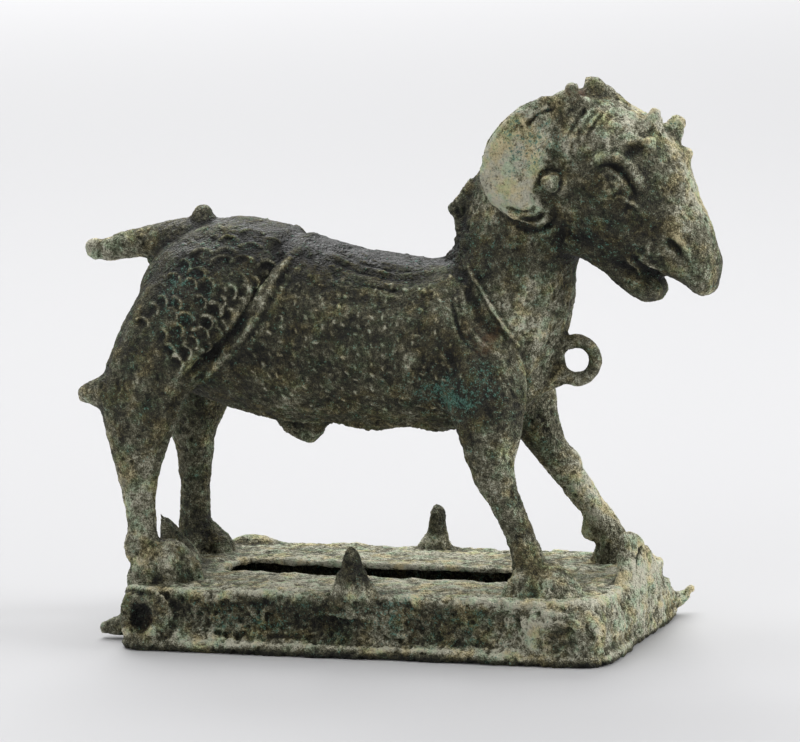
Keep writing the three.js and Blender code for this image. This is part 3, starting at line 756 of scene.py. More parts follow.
@dataclass(frozen=True)
class Patina:
    """Old bronze: the metal's dark skin and what lies on it.

    Colours are linear. The scale goes from bare to thickly coated, and the value fed into it also carries
    painted shade in hollows and sunk carving and painted highlights on crests and raised carving, partly grime
    and wear there. Each share says how much of a colour shows at most, and each range says where its pattern
    starts and where it is full. Depth and sizes are in millimetres.
    """

    name: str
    scale: tuple[tuple[float, Spot], ...] = (
        (0.0, (0.006, 0.0062, 0.005)),
        (0.22, (0.022, 0.0215, 0.0145)),
        (0.42, (0.056, 0.054, 0.033)),
        (0.62, (0.135, 0.13, 0.083)),
        (0.82, (0.33, 0.32, 0.232)),
        (1.0, (0.68, 0.66, 0.52)),
    )
    green_tint: Spot = (0.74, 1.0, 0.84)
    ochre_tint: Spot = (1.18, 0.99, 0.6)
    verdigris: Spot = (0.03, 0.115, 0.082)
    teal: Spot = (0.15, 0.31, 0.25)
    rust: Spot = (0.14, 0.07, 0.035)
    level: float = 0.428
    middle: float = 1.47
    tint_share: float = 0.6
    verdigris_share: float = 0.6
    fleck_share: float = 0.8
    rust_share: float = 0.7
    tint_range: Place = (0.46, 0.64)
    verdigris_range: Place = (2.03, 2.42)
    crumb_range: Place = (2.12, 2.45)
    fleck_range: Place = (0.42, 0.6)
    rust_range: Place = (0.92, 1.4)
    pit_range: Place = (0.3, 0.46)
    wear_range: Place = (0.1, 0.95)
    roughness: Place = (0.42, 0.88)
    specular: float = 0.38
    bump_depth: float = 1.0
    shift: Spot = (0.31, 0.17, 0.43)

    def colour(
        self, bench: Bench, share: object, under: object, over: object, blend: str = "MIX"
    ) -> bpy.types.NodeSocket:
        """Lays one colour over another.

        Args:
            bench: The material's bench.
            share: How much of the upper one shows.
            under: The lower colour or its socket.
            over: The upper colour or its socket.
            blend: How they mix.

        Returns:
            The mixed colour.
        """
        node = bench.add("ShaderNodeMix", {0: share}, data_type="RGBA", blend_type=blend)
        for slot, value in ((6, under), (7, over)):
            if isinstance(value, bpy.types.NodeSocket):
                bench.tree.links.new(value, node.inputs[slot])
            else:
                node.inputs[slot].default_value = (*value, 1.0)
        return node.outputs[2]

    def noises(self, bench: Bench) -> dict[str, bpy.types.NodeSocket]:
        """The patterns of the patina by name, each with its size in millimetres, its detail and its roughness.

        Args:
            bench: The material's bench.

        Returns:
            The value of each pattern.
        """
        at = bench.add("ShaderNodeTexCoord").outputs["Object"]
        shifted = bench.vector("ADD", at, self.shift)
        fields = (
            ("cloud", at, 20.0, 2.0, 0.6), ("mottle", at, 6.0, 2.0, 0.8), ("crust", shifted, 2.0, 1.0, 0.7),
            ("grain", at, 0.85, 1.0, 0.7), ("grit", shifted, 0.38, 0.0, 0.6), ("brown", shifted, 7.0, 4.0, 0.6),
            ("green", at, 5.0, 4.0, 0.62), ("pits", at, 1.5, 2.0, 0.6),
        )
        return {name: bench.noise(place, 1.0 / (size * MM), *rest) for name, place, size, *rest in fields}

    def covered_and_shaded(self, bench: Bench, value: object) -> bpy.types.NodeSocket:
        """The colour of the metal for how thickly it is coated, from 0 to 1, painted shade and highlights
        included.

        Args:
            bench: The material's bench.
            value: How thickly the metal is coated, with painted shade and painted highlights in the value.

        Returns:
            The colour.
        """
        node = bench.add("ShaderNodeValToRGB", {"Fac": value})
        elements = node.color_ramp.elements
        while len(elements) < len(self.scale):
            elements.new(0.5)
        for element, (place, colour) in zip(elements, self.scale):
            element.position = place
            element.color = (*colour, 1.0)
        return node.outputs[0]

    def build(self) -> bpy.types.Material:
        """Makes the material.

        Returns:
            The material.
        """
        material = bpy.data.materials.new(self.name)
        material.use_nodes = True
        bench = Bench(material.node_tree)
        shader = material.node_tree.nodes["Principled BSDF"]
        names = [kind.value for kind in Bloom] + ["hollow", "crest", "relief"]
        powder_and_shading, salts, gloss, rust, hollow, crest, relief = (
            bench.add("ShaderNodeAttribute", attribute_name=name).outputs["Fac"] for name in names
        )
        cloud, mottle, crust, grain, grit, brown, green, pits = self.noises(bench).values()
        # Hollow, crest and relief darken hollows and sunk carving and lighten crests and raised carving: painted
        # shade and painted highlights, partly grime and wear.
        deposits_and_shade = bench.total(
            (cloud, 0.55), (mottle, 0.65), (crust, 0.62), (grain, 0.5), (grit, 0.62),
            (powder_and_shading, 0.48), (crest, 0.12), (hollow, -0.2), (relief, 0.3),
        )
        dust_and_shade = bench.math("ADD", deposits_and_shade, self.level - self.middle, clamp=True)
        colour = self.covered_and_shaded(bench, dust_and_shade)
        for stain, tint in ((green, self.green_tint), (brown, self.ochre_tint)):
            share = bench.math("MULTIPLY", bench.spread(stain, *self.tint_range), self.tint_share)
            colour = self.colour(bench, share, colour, tint, "MULTIPLY")
        crust_of_salts = bench.total((salts, 0.42), (green, 1.3), (grain, 1.2), (crust, 0.9))
        crumbs = bench.total((salts, 0.28), (grit, 0.8), (grain, 1.3), (crust, 0.8), (green, 0.8))
        red = bench.total((rust, 0.55), (brown, 0.8), (grain, 0.5))
        fleck = self.colour(bench, bench.spread(grit, *self.fleck_range), self.verdigris, self.teal)
        for value, extent, share, paint in (
            (crust_of_salts, self.verdigris_range, self.verdigris_share, self.verdigris),
            (crumbs, self.crumb_range, self.fleck_share, fleck),
            (red, self.rust_range, self.rust_share, self.rust),
        ):
            cover = bench.math("MULTIPLY", bench.spread(value, *extent), share)
            colour = self.colour(bench, cover, colour, paint)
        bench.tree.links.new(colour, shader.inputs["Base Color"])
        wear = bench.total((dust_and_shade, 0.6), (gloss, -0.5), (grain, 0.5), (mottle, 0.4))
        bench.tree.links.new(bench.spread(wear, *self.wear_range, self.roughness), shader.inputs["Roughness"])
        shader.inputs["Metallic"].default_value = 0.0
        shader.inputs["Specular IOR Level"].default_value = self.specular
        pitted = bench.spread(pits, *self.pit_range)
        height = bench.total((grit, 0.6), (grain, 1.3), (mottle, 0.7), (crust, 1.5), (pitted, 0.5))
        bump = bench.add("ShaderNodeBump", {"Height": height, "Strength": 1.0, "Distance": self.bump_depth * MM})
        bench.tree.links.new(bump.outputs[0], shader.inputs["Normal"])
        return material


@dataclass(frozen=True)
class PlainFloor:
    """A smooth pale paper floor."""

    colour: Spot = (0.54, 0.54, 0.55)
    roughness: float = 0.9
    specular: float = 0.2

    def build(self) -> bpy.types.Material:
        """Makes the material.

        Returns:
            The material.
        """
        material = bpy.data.materials.new("pale_paper")
        material.use_nodes = True
        shader = material.node_tree.nodes["Principled BSDF"]
        shader.inputs["Base Color"].default_value = (*self.colour, 1.0)
        shader.inputs["Roughness"].default_value = self.roughness
        shader.inputs["Specular IOR Level"].default_value = self.specular
        return material


# ---- The castings


@dataclass
class Casting:
    """One cast piece, made from its solid.

    Lengths are in millimetres. Rounds say how far the mesh is looked at around a point, and gains turn a depth
    in millimetres into a strength. The lowest part, up to bend above the seat, goes down by sink at most.
    """

    node: str
    name: str
    slot: str
    finish: Patina
    corrosion: Corrosion
    voxel: float = FINE_NET
    faces: int = 190000
    weld_gap: float = 0.001
    melt_rounds: int = 60
    keep_range: Place = (0.5, 1.0)
    keep_share: float = 0.06
    keep_growth: int = 5
    keep_blur: int = 12
    held_gain: float = 1.6
    always_gain: float = 2.0
    rough_base: float = 0.6
    rough_range: Place = (0.2, 2.0)
    seat: float = 0.0
    sink: float = 0.0
    bend: float = 1.0
    relief_rounds: int = 22
    relief_gain: float = 3.0
    hollow_rounds: int = 14
    hollow_gain: float = 3.5
    crest_rounds: int = 3
    crest_gain: float = 9.0
    bloom_range: Place = (-1.3, 1.7)

    def copy_solid(self) -> bpy.types.Object:
        """A closed copy of the solid as its own object.

        Returns:
            The copy, with its doubled points merged.
        """
        piece = bpy.data.objects.new(self.name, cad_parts[self.node].data.copy())
        bpy.context.collection.objects.link(piece)
        piece.data.materials.clear()
        weld = piece.modifiers.new("weld", "WELD")
        weld.merge_threshold = self.weld_gap * MM
        make_plain(piece)
        return piece

    def cover(self, piece: bpy.types.Object) -> None:
        """Covers a piece with an even net of small faces.

        Args:
            piece: The piece.
        """
        net = piece.modifiers.new("net", "REMESH")
        net.mode = "VOXEL"
        net.voxel_size = self.voxel * MM
        net.use_smooth_shade = True
        make_plain(piece)

    def melt(self, skin: Skin) -> None:
        """Rounds off the solid's facets but leaves its small features alone.

        Args:
            skin: The piece's surface.
        """
        always, held = self.melting()
        whole = np.ones(len(skin.points))
        moved = np.linalg.norm(skin.eased(whole, self.melt_rounds) - skin.points, axis=1)
        small = skin.grown(smoothstep(*self.keep_range, moved), self.keep_growth)
        small = skin.blurred(small, self.keep_blur)
        share = np.clip(1.0 - small, self.keep_share, 1.0)
        for patch in held:
            hold = np.clip(patch.cover(skin.points) * self.held_gain, 0.0, 1.0)
            share = np.minimum(share, 1.0 - hold * patch.amount)
        for patch in always:
            share = np.maximum(share, np.clip(patch.cover(skin.points) * self.always_gain, 0.0, 1.0))
        skin.points = skin.eased(share, self.melt_rounds)

    def carve(self, skin: Skin) -> None:
        """Cuts and raises the marks on the skin.

        Args:
            skin: The piece's surface.
        """
        tree = skin.tree()
        normals = skin.normals()
        height = np.zeros(len(skin.points))
        for mark in self.marks():
            height += mark.height(skin, tree)
        skin.points += normals * height[:, None]
        skin.write()

    def settle(self, piece: bpy.types.Object) -> None:
        """Bends the lowest part of a piece down into what it stands on, and keeps all of it above the floor.

        Args:
            piece: The piece.
        """
        skin = Skin(piece)
        z = skin.points[:, 2]
        drop = self.sink * (1.0 - smoothstep(self.seat, self.seat + self.bend, z))
        skin.points[:, 2] = np.maximum(z - drop, 0.0)
        skin.write()

    def store(self, piece: bpy.types.Object, name: str, values: np.ndarray) -> None:
        """Keeps a value for each point as an attribute of the mesh."""
        attribute = piece.data.attributes.new(name, "FLOAT", "POINT")
        attribute.data.foreach_set("value", values.astype(np.float32))

    def thin(self, piece: bpy.types.Object) -> None:
        """Brings the number of triangles down, mostly where the surface is flat.

        Args:
            piece: The piece.
        """
        count = sum(len(p.vertices) - 2 for p in piece.data.polygons)
        fewer = piece.modifiers.new("fewer", "DECIMATE")
        fewer.ratio = min(1.0, self.faces / count)
        make_plain(piece)
        skin = Skin(piece)
        skin.points[:, 2] = np.maximum(skin.points[:, 2], 0.0)
        skin.write()

    def depth(self, skin: Skin, normals: np.ndarray, rounds: int) -> np.ndarray:
        """How far each point lies under the mean of its surroundings.

        Args:
            skin: The surface.
            normals: Its outward normals.
            rounds: How wide the surroundings are.

        Returns:
            A depth in millimetres for each point, below zero where it stands out.
        """
        return np.sum((skin.blurred(skin.points, rounds) - skin.points) * normals, axis=1)

    def note_relief(self, piece: bpy.types.Object) -> None:
        """Keeps how far the carving stands over or under its surroundings, before the corrosion roughens it. The
        finish lightens what stands over and darkens what lies under, as painted highlights and painted shade,
        partly grime.

        Args:
            piece: The piece, carved but not yet corroded.
        """
        skin = Skin(piece)
        sunk = self.depth(skin, skin.normals(), self.relief_rounds)
        # The finish lightens raised carving and darkens sunk carving by this: painted highlight and painted
        # shade, partly grime.
        self.store(piece, "relief", np.clip(-sunk * self.relief_gain, -1.0, 1.0))

    def dust_and_shade(self, piece: bpy.types.Object) -> None:
        """Marks hollows, crests and deposits on the finished mesh: the finish darkens the hollows and lightens
        the crests, partly as grime and wear, partly as painted shade and painted highlights.

        Args:
            piece: The finished piece.
        """
        skin = Skin(piece)
        normals = skin.normals()
        wide = self.depth(skin, normals, self.hollow_rounds)
        fine = self.depth(skin, normals, self.crest_rounds)
        # Hollows darken and crests lighten in the finish: painted shade and painted highlights, partly grime and
        # wear.
        self.store(piece, "hollow", np.clip(wide * self.hollow_gain, 0.0, 1.0))
        self.store(piece, "crest", np.clip(-fine * self.crest_gain, 0.0, 1.0))
        blooms = self.blooms()
        for kind in Bloom:
            amount = np.zeros(len(skin.points))
            for patch in blooms.get(kind, []):
                amount += patch.cover(skin.points)
            self.store(piece, kind.value, np.clip(amount, *self.bloom_range))

    def hand_over(self, piece: bpy.types.Object, finish: bpy.types.Material) -> None:
        """Gives the piece its finish and sets it in place of the solid.

        Args:
            piece: The finished piece.
            finish: Its material.
        """
        piece.data.materials.clear()
        piece.data.materials.append(finish)
        piece.data.shade_smooth()
        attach(piece, "root")
        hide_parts(self.node)
        LOG.info("%s: %d triangles", self.name, sum(len(p.vertices) - 2 for p in piece.data.polygons))

    def melting(self) -> tuple[list[Patch], list[Patch]]:
        """The regions that are rounded off whatever stands on them, and those that are rounded off less."""
        raise NotImplementedError

    def marks(self) -> list[Stroke | Dent]:
        """The lines, hollows and knobs on the piece."""
        raise NotImplementedError

    def rough_places(self) -> list[Patch]:
        """Where the surface is rougher, or smoother where an amount is below zero."""
        raise NotImplementedError

    def roughness(self, points: np.ndarray) -> np.ndarray:
        """How rough each point is, as a factor of the corrosion's grain and pits."""
        rough = self.rough_base + sum(patch.cover(points) for patch in self.rough_places())
        return np.clip(rough, *self.rough_range)

    def curls(self) -> list[CurlRows]:
        """The rows of small arcs on the piece."""
        return []

    def blooms(self) -> dict[Bloom, list[Patch]]:
        """Where the deposits lie, and the painted light and painted shade laid in the buff layer."""
        raise NotImplementedError

    def build(self) -> bpy.types.Object:
        """Makes the piece.

        Returns:
            The finished piece.
        """
        finish = self.finish.build()
        piece = self.copy_solid()
        self.cover(piece)
        skin = Skin(piece)
        self.melt(skin)
        self.carve(skin)
        self.store(piece, "rough", self.roughness(skin.points))
        for rows in self.curls():
            rows.tree(finish).apply(piece)
        self.note_relief(piece)
        self.corrosion.tree(f"{self.node}_corrosion", finish).apply(piece)
        self.settle(piece)
        self.thin(piece)
        self.dust_and_shade(piece)
        self.hand_over(piece, finish)
        return piece


def patches(*rows: tuple[Spot, Spot, float]) -> list[Patch]:
    """Patches from rows of centre, half widths and amount."""
    return [Patch(*row) for row in rows]


@dataclass
class Ram(Casting):
    """The animal: its body, straps, fleece, head and horns."""

    seat: float = PLINTH_TOP
    sink: float = 2.2
    bend: float = 5.0
    rough_base: float = 0.7
    rough_range: Place = (0.15, 2.2)

    def melting(self) -> tuple[list[Patch], list[Patch]]:
        """The fleece fields are always rounded off. The head and the horns are rounded off less."""
        fleece = both_sides(Patch, (-57, 22, 104), (21, 16, 21), 1.3)
        return fleece, patches(((92, 0, 118), (24, 30, 24), 0.8), ((48, 0, 152), (24, 30, 26), 0.6))

    def marks(self) -> list[Stroke | Dent]:
        """The chased lines, from the rump to the muzzle.

        Returns:
            The marks, in drawing millimetres.
        """
        return [
            # The groove behind the rump strap, the worn bright edge before it and the strap's far edge.
            Stroke(((-26, 127), (-30, 122.5), (-34, 116.8), (-38.1, 109), (-42.4, 100.2), (-48.7, 93.4),
                    (-57, 85.8), (-62, 80.4)), 1.9, -2.4, wear=0.3),
            Stroke(((-24.4, 124.4), (-28.4, 118.6), (-32.6, 109.6), (-37.8, 100), (-43.9, 92.8), (-50.9, 86.2),
                    (-60, 79)), 1.2, 0.8, wear=0.9),
            Stroke(((-21.6, 122.4), (-27.2, 113.6), (-31.4, 104.4), (-36.8, 95.6), (-44, 88.6)), 1.4, 0.3),
            Dent((-67.4, 0, 127.2), (4.4, 4.4, 3.2), 1.3),
            # The tail's rounded tip.
            Dent((-101, -2, 121.4), (3, 6, 2.4), 0.7),
            Dent((-97.4, -4, 118), (1.4, 4, 4), -0.6),
            # The collar's two ridges and the crusty line between them.
            Stroke(((28, 121), (31.5, 115.9), (35.8, 110.5), (39.7, 104.4), (44.4, 97.2), (48.2, 91)), 0.6, 0.95,
                   wear=0.7),
            Stroke(((25.4, 120), (28.4, 114.4), (32.4, 108), (36.6, 101.6), (41.4, 95.4)), 1.7, -0.8),
            Stroke(((26.2, 119.4), (28.6, 112), (29.8, 107.9), (31.3, 101.8), (34.1, 97.6), (38, 94.5),
                    (41.5, 92.4), (45.6, 87.5)), 0.9, 0.5, wear=0.95),
            Stroke(((25, 113), (27, 106), (30, 98), (35, 93), (41, 89)), 0.6, -0.4),
            # The horn's rim, crescent and hole.
            Stroke(((35.8, 140), (34.6, 147.5), (36.4, 155.4), (40.6, 162.2), (46.8, 167.5), (54, 170.4)),
                   0.7, -0.8),
            Stroke(((50.8, 162.2), (53, 165), (56.5, 166.6), (59.6, 166.4)), 0.6, -0.8),
            Dent((51, -18, 162.9), (0.9, 3, 0.9), -1.0),
            # The horn's hooked end: its lip, the hollow above it and the neck's groove round it.
            Stroke(((40.6, 137.4), (44.4, 135.2), (47.9, 132.9), (51.1, 131.8), (54, 133), (55.2, 135.8),
                    (54.8, 138)), 0.8, 0.9, wear=0.4),
            Stroke(((43, 138.2), (46.4, 136.2), (50, 135.4), (52.4, 137), (52, 140)), 1.2, -1.0, wear=0.4),
            Stroke(((42.4, 134), (46.8, 130.6), (51.1, 129.3), (55.6, 130.8), (57.4, 134.6), (57.6, 138.6)),
                   1.0, -0.8),
            *both_sides(Dent, (57.6, 22, 145), (2.4, 6, 2.4), 1.0),
            # The ear stands clear of its surroundings and is hollow at its lower edge.
            Stroke(((53.6, 144.4), (54.4, 147.4), (57, 148.6), (60, 147.6), (61.4, 145), (60.4, 142),
                    (57.6, 140.8)), 0.8, -0.55, taper=0.0),
            *both_sides(Dent, (55.4, 22, 142.8), (1.3, 4, 1.4), -1.4),
            # The hair lines that run down from the forelock.
            Stroke(((69.6, 167.4), (66, 162), (63.2, 156), (61.6, 150)), 0.6, 0.35),
            Stroke(((68, 168), (64.4, 162.6), (61.6, 156.4)), 0.6, -0.3),
            Stroke(((72, 167), (68.8, 162), (66.2, 156.8)), 0.55, 0.3),
            Stroke(((74, 166), (71.4, 161.8), (69.4, 158)), 0.55, 0.3),
            Stroke(((73, 166.6), (70, 161.8), (67.8, 157.2)), 0.5, -0.25),
            # The brow's ridge, the eye's ring, the lids and the ball.
            Stroke(((70.2, 150.4), (73.6, 152.8), (78, 152.2), (81.6, 149.6), (84.2, 145.8), (86.8, 141.2)),
                   1.4, 0.85, wear=0.4),
            Stroke(((70.4, 147.4), (73.6, 149.9), (77.2, 149.6), (80.2, 147.2), (82.2, 143.6), (84.4, 139.6)),
                   0.8, -0.6, wear=0.4),
            Stroke(((71, 144.6), (73.6, 147.2), (77, 147.4), (79.6, 145), (81.2, 141.8)), 0.6, 0.35),
            Stroke(((70.9, 142.6), (73.2, 140.3), (76.4, 139.6), (79, 140.6), (81.6, 138.8), (84.6, 136.6)),
                   0.7, 0.4),
            *both_sides(Dent, (76.2, 16, 143.6), (2.4, 4, 2.2), 0.5),
            *both_sides(Dent, (76.6, 16, 143.6), (0.9, 4, 0.9), -0.7),
            # The cheek, the nostril and the bulge of the lip below it.
            Stroke(((80.7, 140.3), (84.1, 137.2), (87, 133)), 0.7, 0.4),
            Stroke(((91.2, 127.4), (93.2, 126.2), (95.2, 123.6), (96.4, 120.6)), 1.2, -1.3),
            Stroke(((93.2, 129), (95.8, 127), (98, 123.6), (98.9, 119.6)), 0.9, 0.4),
            Stroke(((88.5, 126.8), (86.3, 124.7), (86, 121)), 0.8, 0.4),
            *both_sides(Dent, (94.6, 8.6, 117), (3.6, 5, 2.8), 0.8),
            Dent((101.6, 0, 110.6), (2.6, 8, 2.2), 0.7),
            # The mouth's corner and the folds behind it.
            Stroke(((78.9, 122.4), (79.9, 119.6), (81.6, 117), (82.8, 114.2)), 0.6, 0.5),
            Stroke(((80.6, 123), (82, 120), (84.4, 117.4), (87.4, 115.4), (89.8, 113.6)), 0.9, -1.2),
            Stroke(((83.4, 122.4), (84.8, 120), (87.4, 117.9), (90.4, 116)), 0.8, 0.5),
            # The hollows over the brow and the small hole by the lock.
            *both_sides(Dent, (83.1, 12.6, 155), (3.2, 5, 2.4), -1.4),
            Dent((87, -10, 156.6), (1.5, 4, 1.4), 1.2),
            Stroke(((73.6, 160), (75, 156.6), (75.4, 153)), 1.1, 0.6),
            Dent((86.6, -5.2, 160.4), (0.9, 2.4, 1.2), -0.8),
            Dent((80, -13, 156.4), (3.6, 4, 2.4), 0.6),
            # The shoulder's scar and the marks above it.
            Stroke(((42.6, 88), (45, 83.4), (47.6, 78.4)), 0.6, -0.4),
            Stroke(((22.6, 93.4), (25, 91), (27.6, 86.4)), 0.7, 0.4),
            # Long scratches down the back.
            *(
                Stroke(((-23 + 2 * row, 123.4 - drop), (-13, 120.6 - drop), (-3, 117.8 - drop),
                        (8, 116.2 - drop), (19 - row, 116.6 - drop)), 0.5, -0.4 if row % 2 else 0.3, wear=0.8)
                for row, drop in enumerate((-1.2, 0.0, 1.0, 2.2, 3.6, 5.2, 7.0))
            ),
            # The belly's uneven lower edge.
            Dent((-19, 0, 67.6), (5, 16, 4), -1.5),
            Dent((-5.4, 0, 64.6), (5.6, 16, 4), 1.1),
            Dent((8, 0, 66), (4, 16, 3), -0.8),
            Dent((-31, 0, 65), (3, 10, 3), -0.8),
            Dent((15, 0, 66), (3.4, 14, 3), 0.7),
            # The crusty swellings of the mound round the near hind foot.
            Dent((-80.6, -28, 29.6), (3, 7, 3.4), 1.5),
            Dent((-79.4, -30, 24.6), (3, 6, 1.6), -1.3),
            Dent((-74, -36, 26), (3.6, 4, 2.8), 1.2),
            Dent((-68, -37, 22.6), (3, 4, 2), -1.1),
            Dent((-64, -33, 26.4), (3.2, 6, 2.6), 1.0),
            Dent((-58.6, -34, 22), (2.6, 5, 1.6), -0.8),
            Dent((50, -34, 25.6), (3, 5, 2.2), 0.9),
            Dent((55, -36, 22.4), (2.6, 4, 1.5), -0.9),
            Dent((61, -32, 24.4), (2.8, 5, 2), 0.8),
            # Ragged tufts down the nape.
            Dent((26.4, 0, 143), (1.6, 9, 1.6), 0.9),
            Dent((22.4, 0, 134), (1.5, 8, 1.4), -1.0),
            Dent((26.6, -2, 129.6), (1.8, 8, 1.8), -0.9),
            Dent((22.6, -2, 125), (1.6, 7, 1.6), 0.8),
            Dent((19.8, -2, 120.2), (1.5, 7, 1.3), 0.7),
        ]

    def curls(self) -> list[CurlRows]:
        """The curls on the rump and the small dashes on the flank, on both sides.

        Returns:
            The rows, the near side first.
        """
        by_groove = {"middle": (-50.5, 99.5), "lean": 36.0, "rows": (2, 9), "pitch": (4.6, 4.1), "turn": 22.0,
                     "spin": 18.0, "stray": 0.8}
        faint = {"middle": (-60.5, 103), "lean": 33.0, "rows": (4, 5), "pitch": (5.4, 5.2), "turn": 50.0,
                 "spin": 30.0, "stray": 1.1}
        waves = {"middle": (-44.5, 120), "lean": 3.0, "rows": (4, 4), "pitch": (7.2, 4.2), "turn": 88.0,
                 "spin": 12.0, "stray": 0.9}
        comb = {"middle": (-50, 123), "lean": -4.0, "rows": (6, 8), "pitch": (5.2, 1.9), "turn": 90.0,
                "spin": 8.0, "stray": 0.8}
        flank = {"middle": (-4, 96), "lean": 4.0, "rows": (17, 11), "pitch": (4.2, 4.3), "turn": 42.0,
                 "spin": 50.0, "stray": 1.2}
        # For each field its name and grid, then the arcs' radius, sweep, half width and height, and the seed.
        fields = (
            ("rump_waves", waves, 4.4, 105.0, 0.62, 0.75, 11),
            ("groove_crescents", by_groove, 2.5, 130.0, 0.52, 0.6, 21),
            ("groove_pits", by_groove, 0.4, 300.0, 1.3, -0.15, 21),
            ("faint_curls", faint, 2.8, 120.0, 0.6, 0.62, 41),
            ("faint_pits", faint, 0.4, 300.0, 1.5, -0.25, 41),
            ("rump_comb", comb, 8.0, 38.0, 0.36, 0.28, 51),
            ("flank_dashes", flank, 1.3, 45.0, 0.42, 0.45, 31),
        )
        return [
            CurlRows(f"{name}_{side}", **field, radius=radius, sweep=sweep, half=half, rise=rise, side=side,
                     seed=seed + side)
            for side in BOTH
            for name, field, radius, sweep, half, rise, seed in fields
        ]

    def blooms(self) -> dict[Bloom, list[Patch]]:
        """Where the deposits lie, with painted light on the horns, forehead, muzzle and neck front and painted
        shade on the cheek and under the horns' hooked ends.
        """
        return {
            Bloom.POWDER_AND_SHADING: patches(
                # Buff deposit on the horns, forelock, forehead and muzzle, partly painted light on faces turned
                # up and to the right.
                ((44, -18, 149), (15, 12, 17), 1.45), ((44, 18, 149), (15, 12, 17), 1.2),
                ((47, -18, 140), (10, 10, 6), 0.35), ((62, 0, 158), (10, 20, 12), 0.6),
                ((80, 0, 160), (15, 16, 10), 1.2), ((97, 0, 138), (8, 14, 22), 0.95),
                ((57, -21, 144.4), (4, 5, 4), -1.1), ((57, 21, 144.4), (4, 5, 4), -1.1),
                # Painted shade under the horns' hooked ends.
                ((49, -19, 133.4), (8, 6, 3.6), -1.0), ((49, 19, 133.4), (8, 6, 3.6), -1.0),
                # The first patch darkens the cheek as painted shade.
                ((72, 0, 128), (12, 24, 14), -0.5), ((88, 0, 114), (12, 16, 7), -0.4),
                # The second patch, and its mirror two rows down, lighten the neck's front: buff deposit, partly
                # painted light from the right.
                ((-14, 0, 122), (52, 24, 8), -1.2), ((48, -14, 106), (11, 18, 16), 0.75),
                ((46, -30, 76), (12, 12, 12), -0.4), ((33, 0, 86), (12, 40, 12), -0.25),
                ((-8, 0, 96), (32, 40, 18), 0.2), ((48, 14, 106), (11, 18, 16), 0.7),
                ((50, 0, 86), (8, 16, 10), 0.5), ((44, -28, 62), (10, 10, 18), 0.45),
                ((56, 27, 42), (11, 10, 22), 1.1), ((-77, -28, 45), (14, 12, 26), 0.66),
                ((-77, -26, 80), (16, 12, 14), -0.15), ((-90, 0, 119), (18, 9, 9), 0.95),
                ((56, -28, 22), (18, 16, 9), 0.6), ((-70, -28, 24), (14, 14, 9), 0.6),
            ),
            Bloom.VERDIGRIS: patches(
                ((-60, -24, 108), (9, 12, 14), 0.9), ((25, -28, 79), (13, 10, 7), 1.3),
                ((40, -28, 84), (5, 9, 6), 0.7), ((51, -18, 157), (10, 10, 8), 0.9),
                ((40, -18, 124), (12, 10, 8), 0.5), ((-58, 24, 106), (10, 12, 12), 0.6),
                ((30, 26, 84), (12, 10, 9), 0.6), ((68, -16, 128), (12, 10, 10), 0.35),
            ),
            Bloom.GLOSS: patches(
                ((-20, 0, 124), (50, 34, 10), 0.1), ((-62, 0, 122), (24, 30, 9), 0.85),
                ((66, 0, 88), (8, 8, 12), 0.5),
            ),
            Bloom.RUST: patches(
                ((62.7, -6, 171), (3.4, 8, 4), 1.7), ((46, -28, 50), (8, 10, 12), 0.5),
                ((-74, -28, 70), (12, 10, 16), 0.4), ((37, -24, 97), (8, 8, 9), 1.0),
            ),
        }

    def rough_places(self) -> list[Patch]:
        """The crusty ring's mount, mounds and belly, and the smooth ring, back and flanks.

        Returns:
            The places.
        """
        rows = patches(
            ((-16, 0, 68), (60, 20, 6), 1.2), ((52, 0, 92), (9, 14, 14), 1.2), ((0, 0, 20), (120, 60, 12), 1.6),
            ((0, 0, 48), (120, 60, 20), 0.4), ((24, 0, 134), (8, 10, 14), 1.3), ((88, 0, 162), (10, 16, 6), 0.8),
            ((66, 0, 172), (8, 14, 5), 0.8), ((-84, 0, 120), (14, 8, 8), 0.5), ((64, 0, 86), (8, 8, 12), -1.2),
            ((-15, 0, 124), (50, 30, 8), -0.3),
        )
        rows += both_sides(Patch, (-4, 26, 96), (32, 14, 18), -0.35)
        return rows + both_sides(Patch, (-57, 22, 106), (22, 16, 22), -0.35)


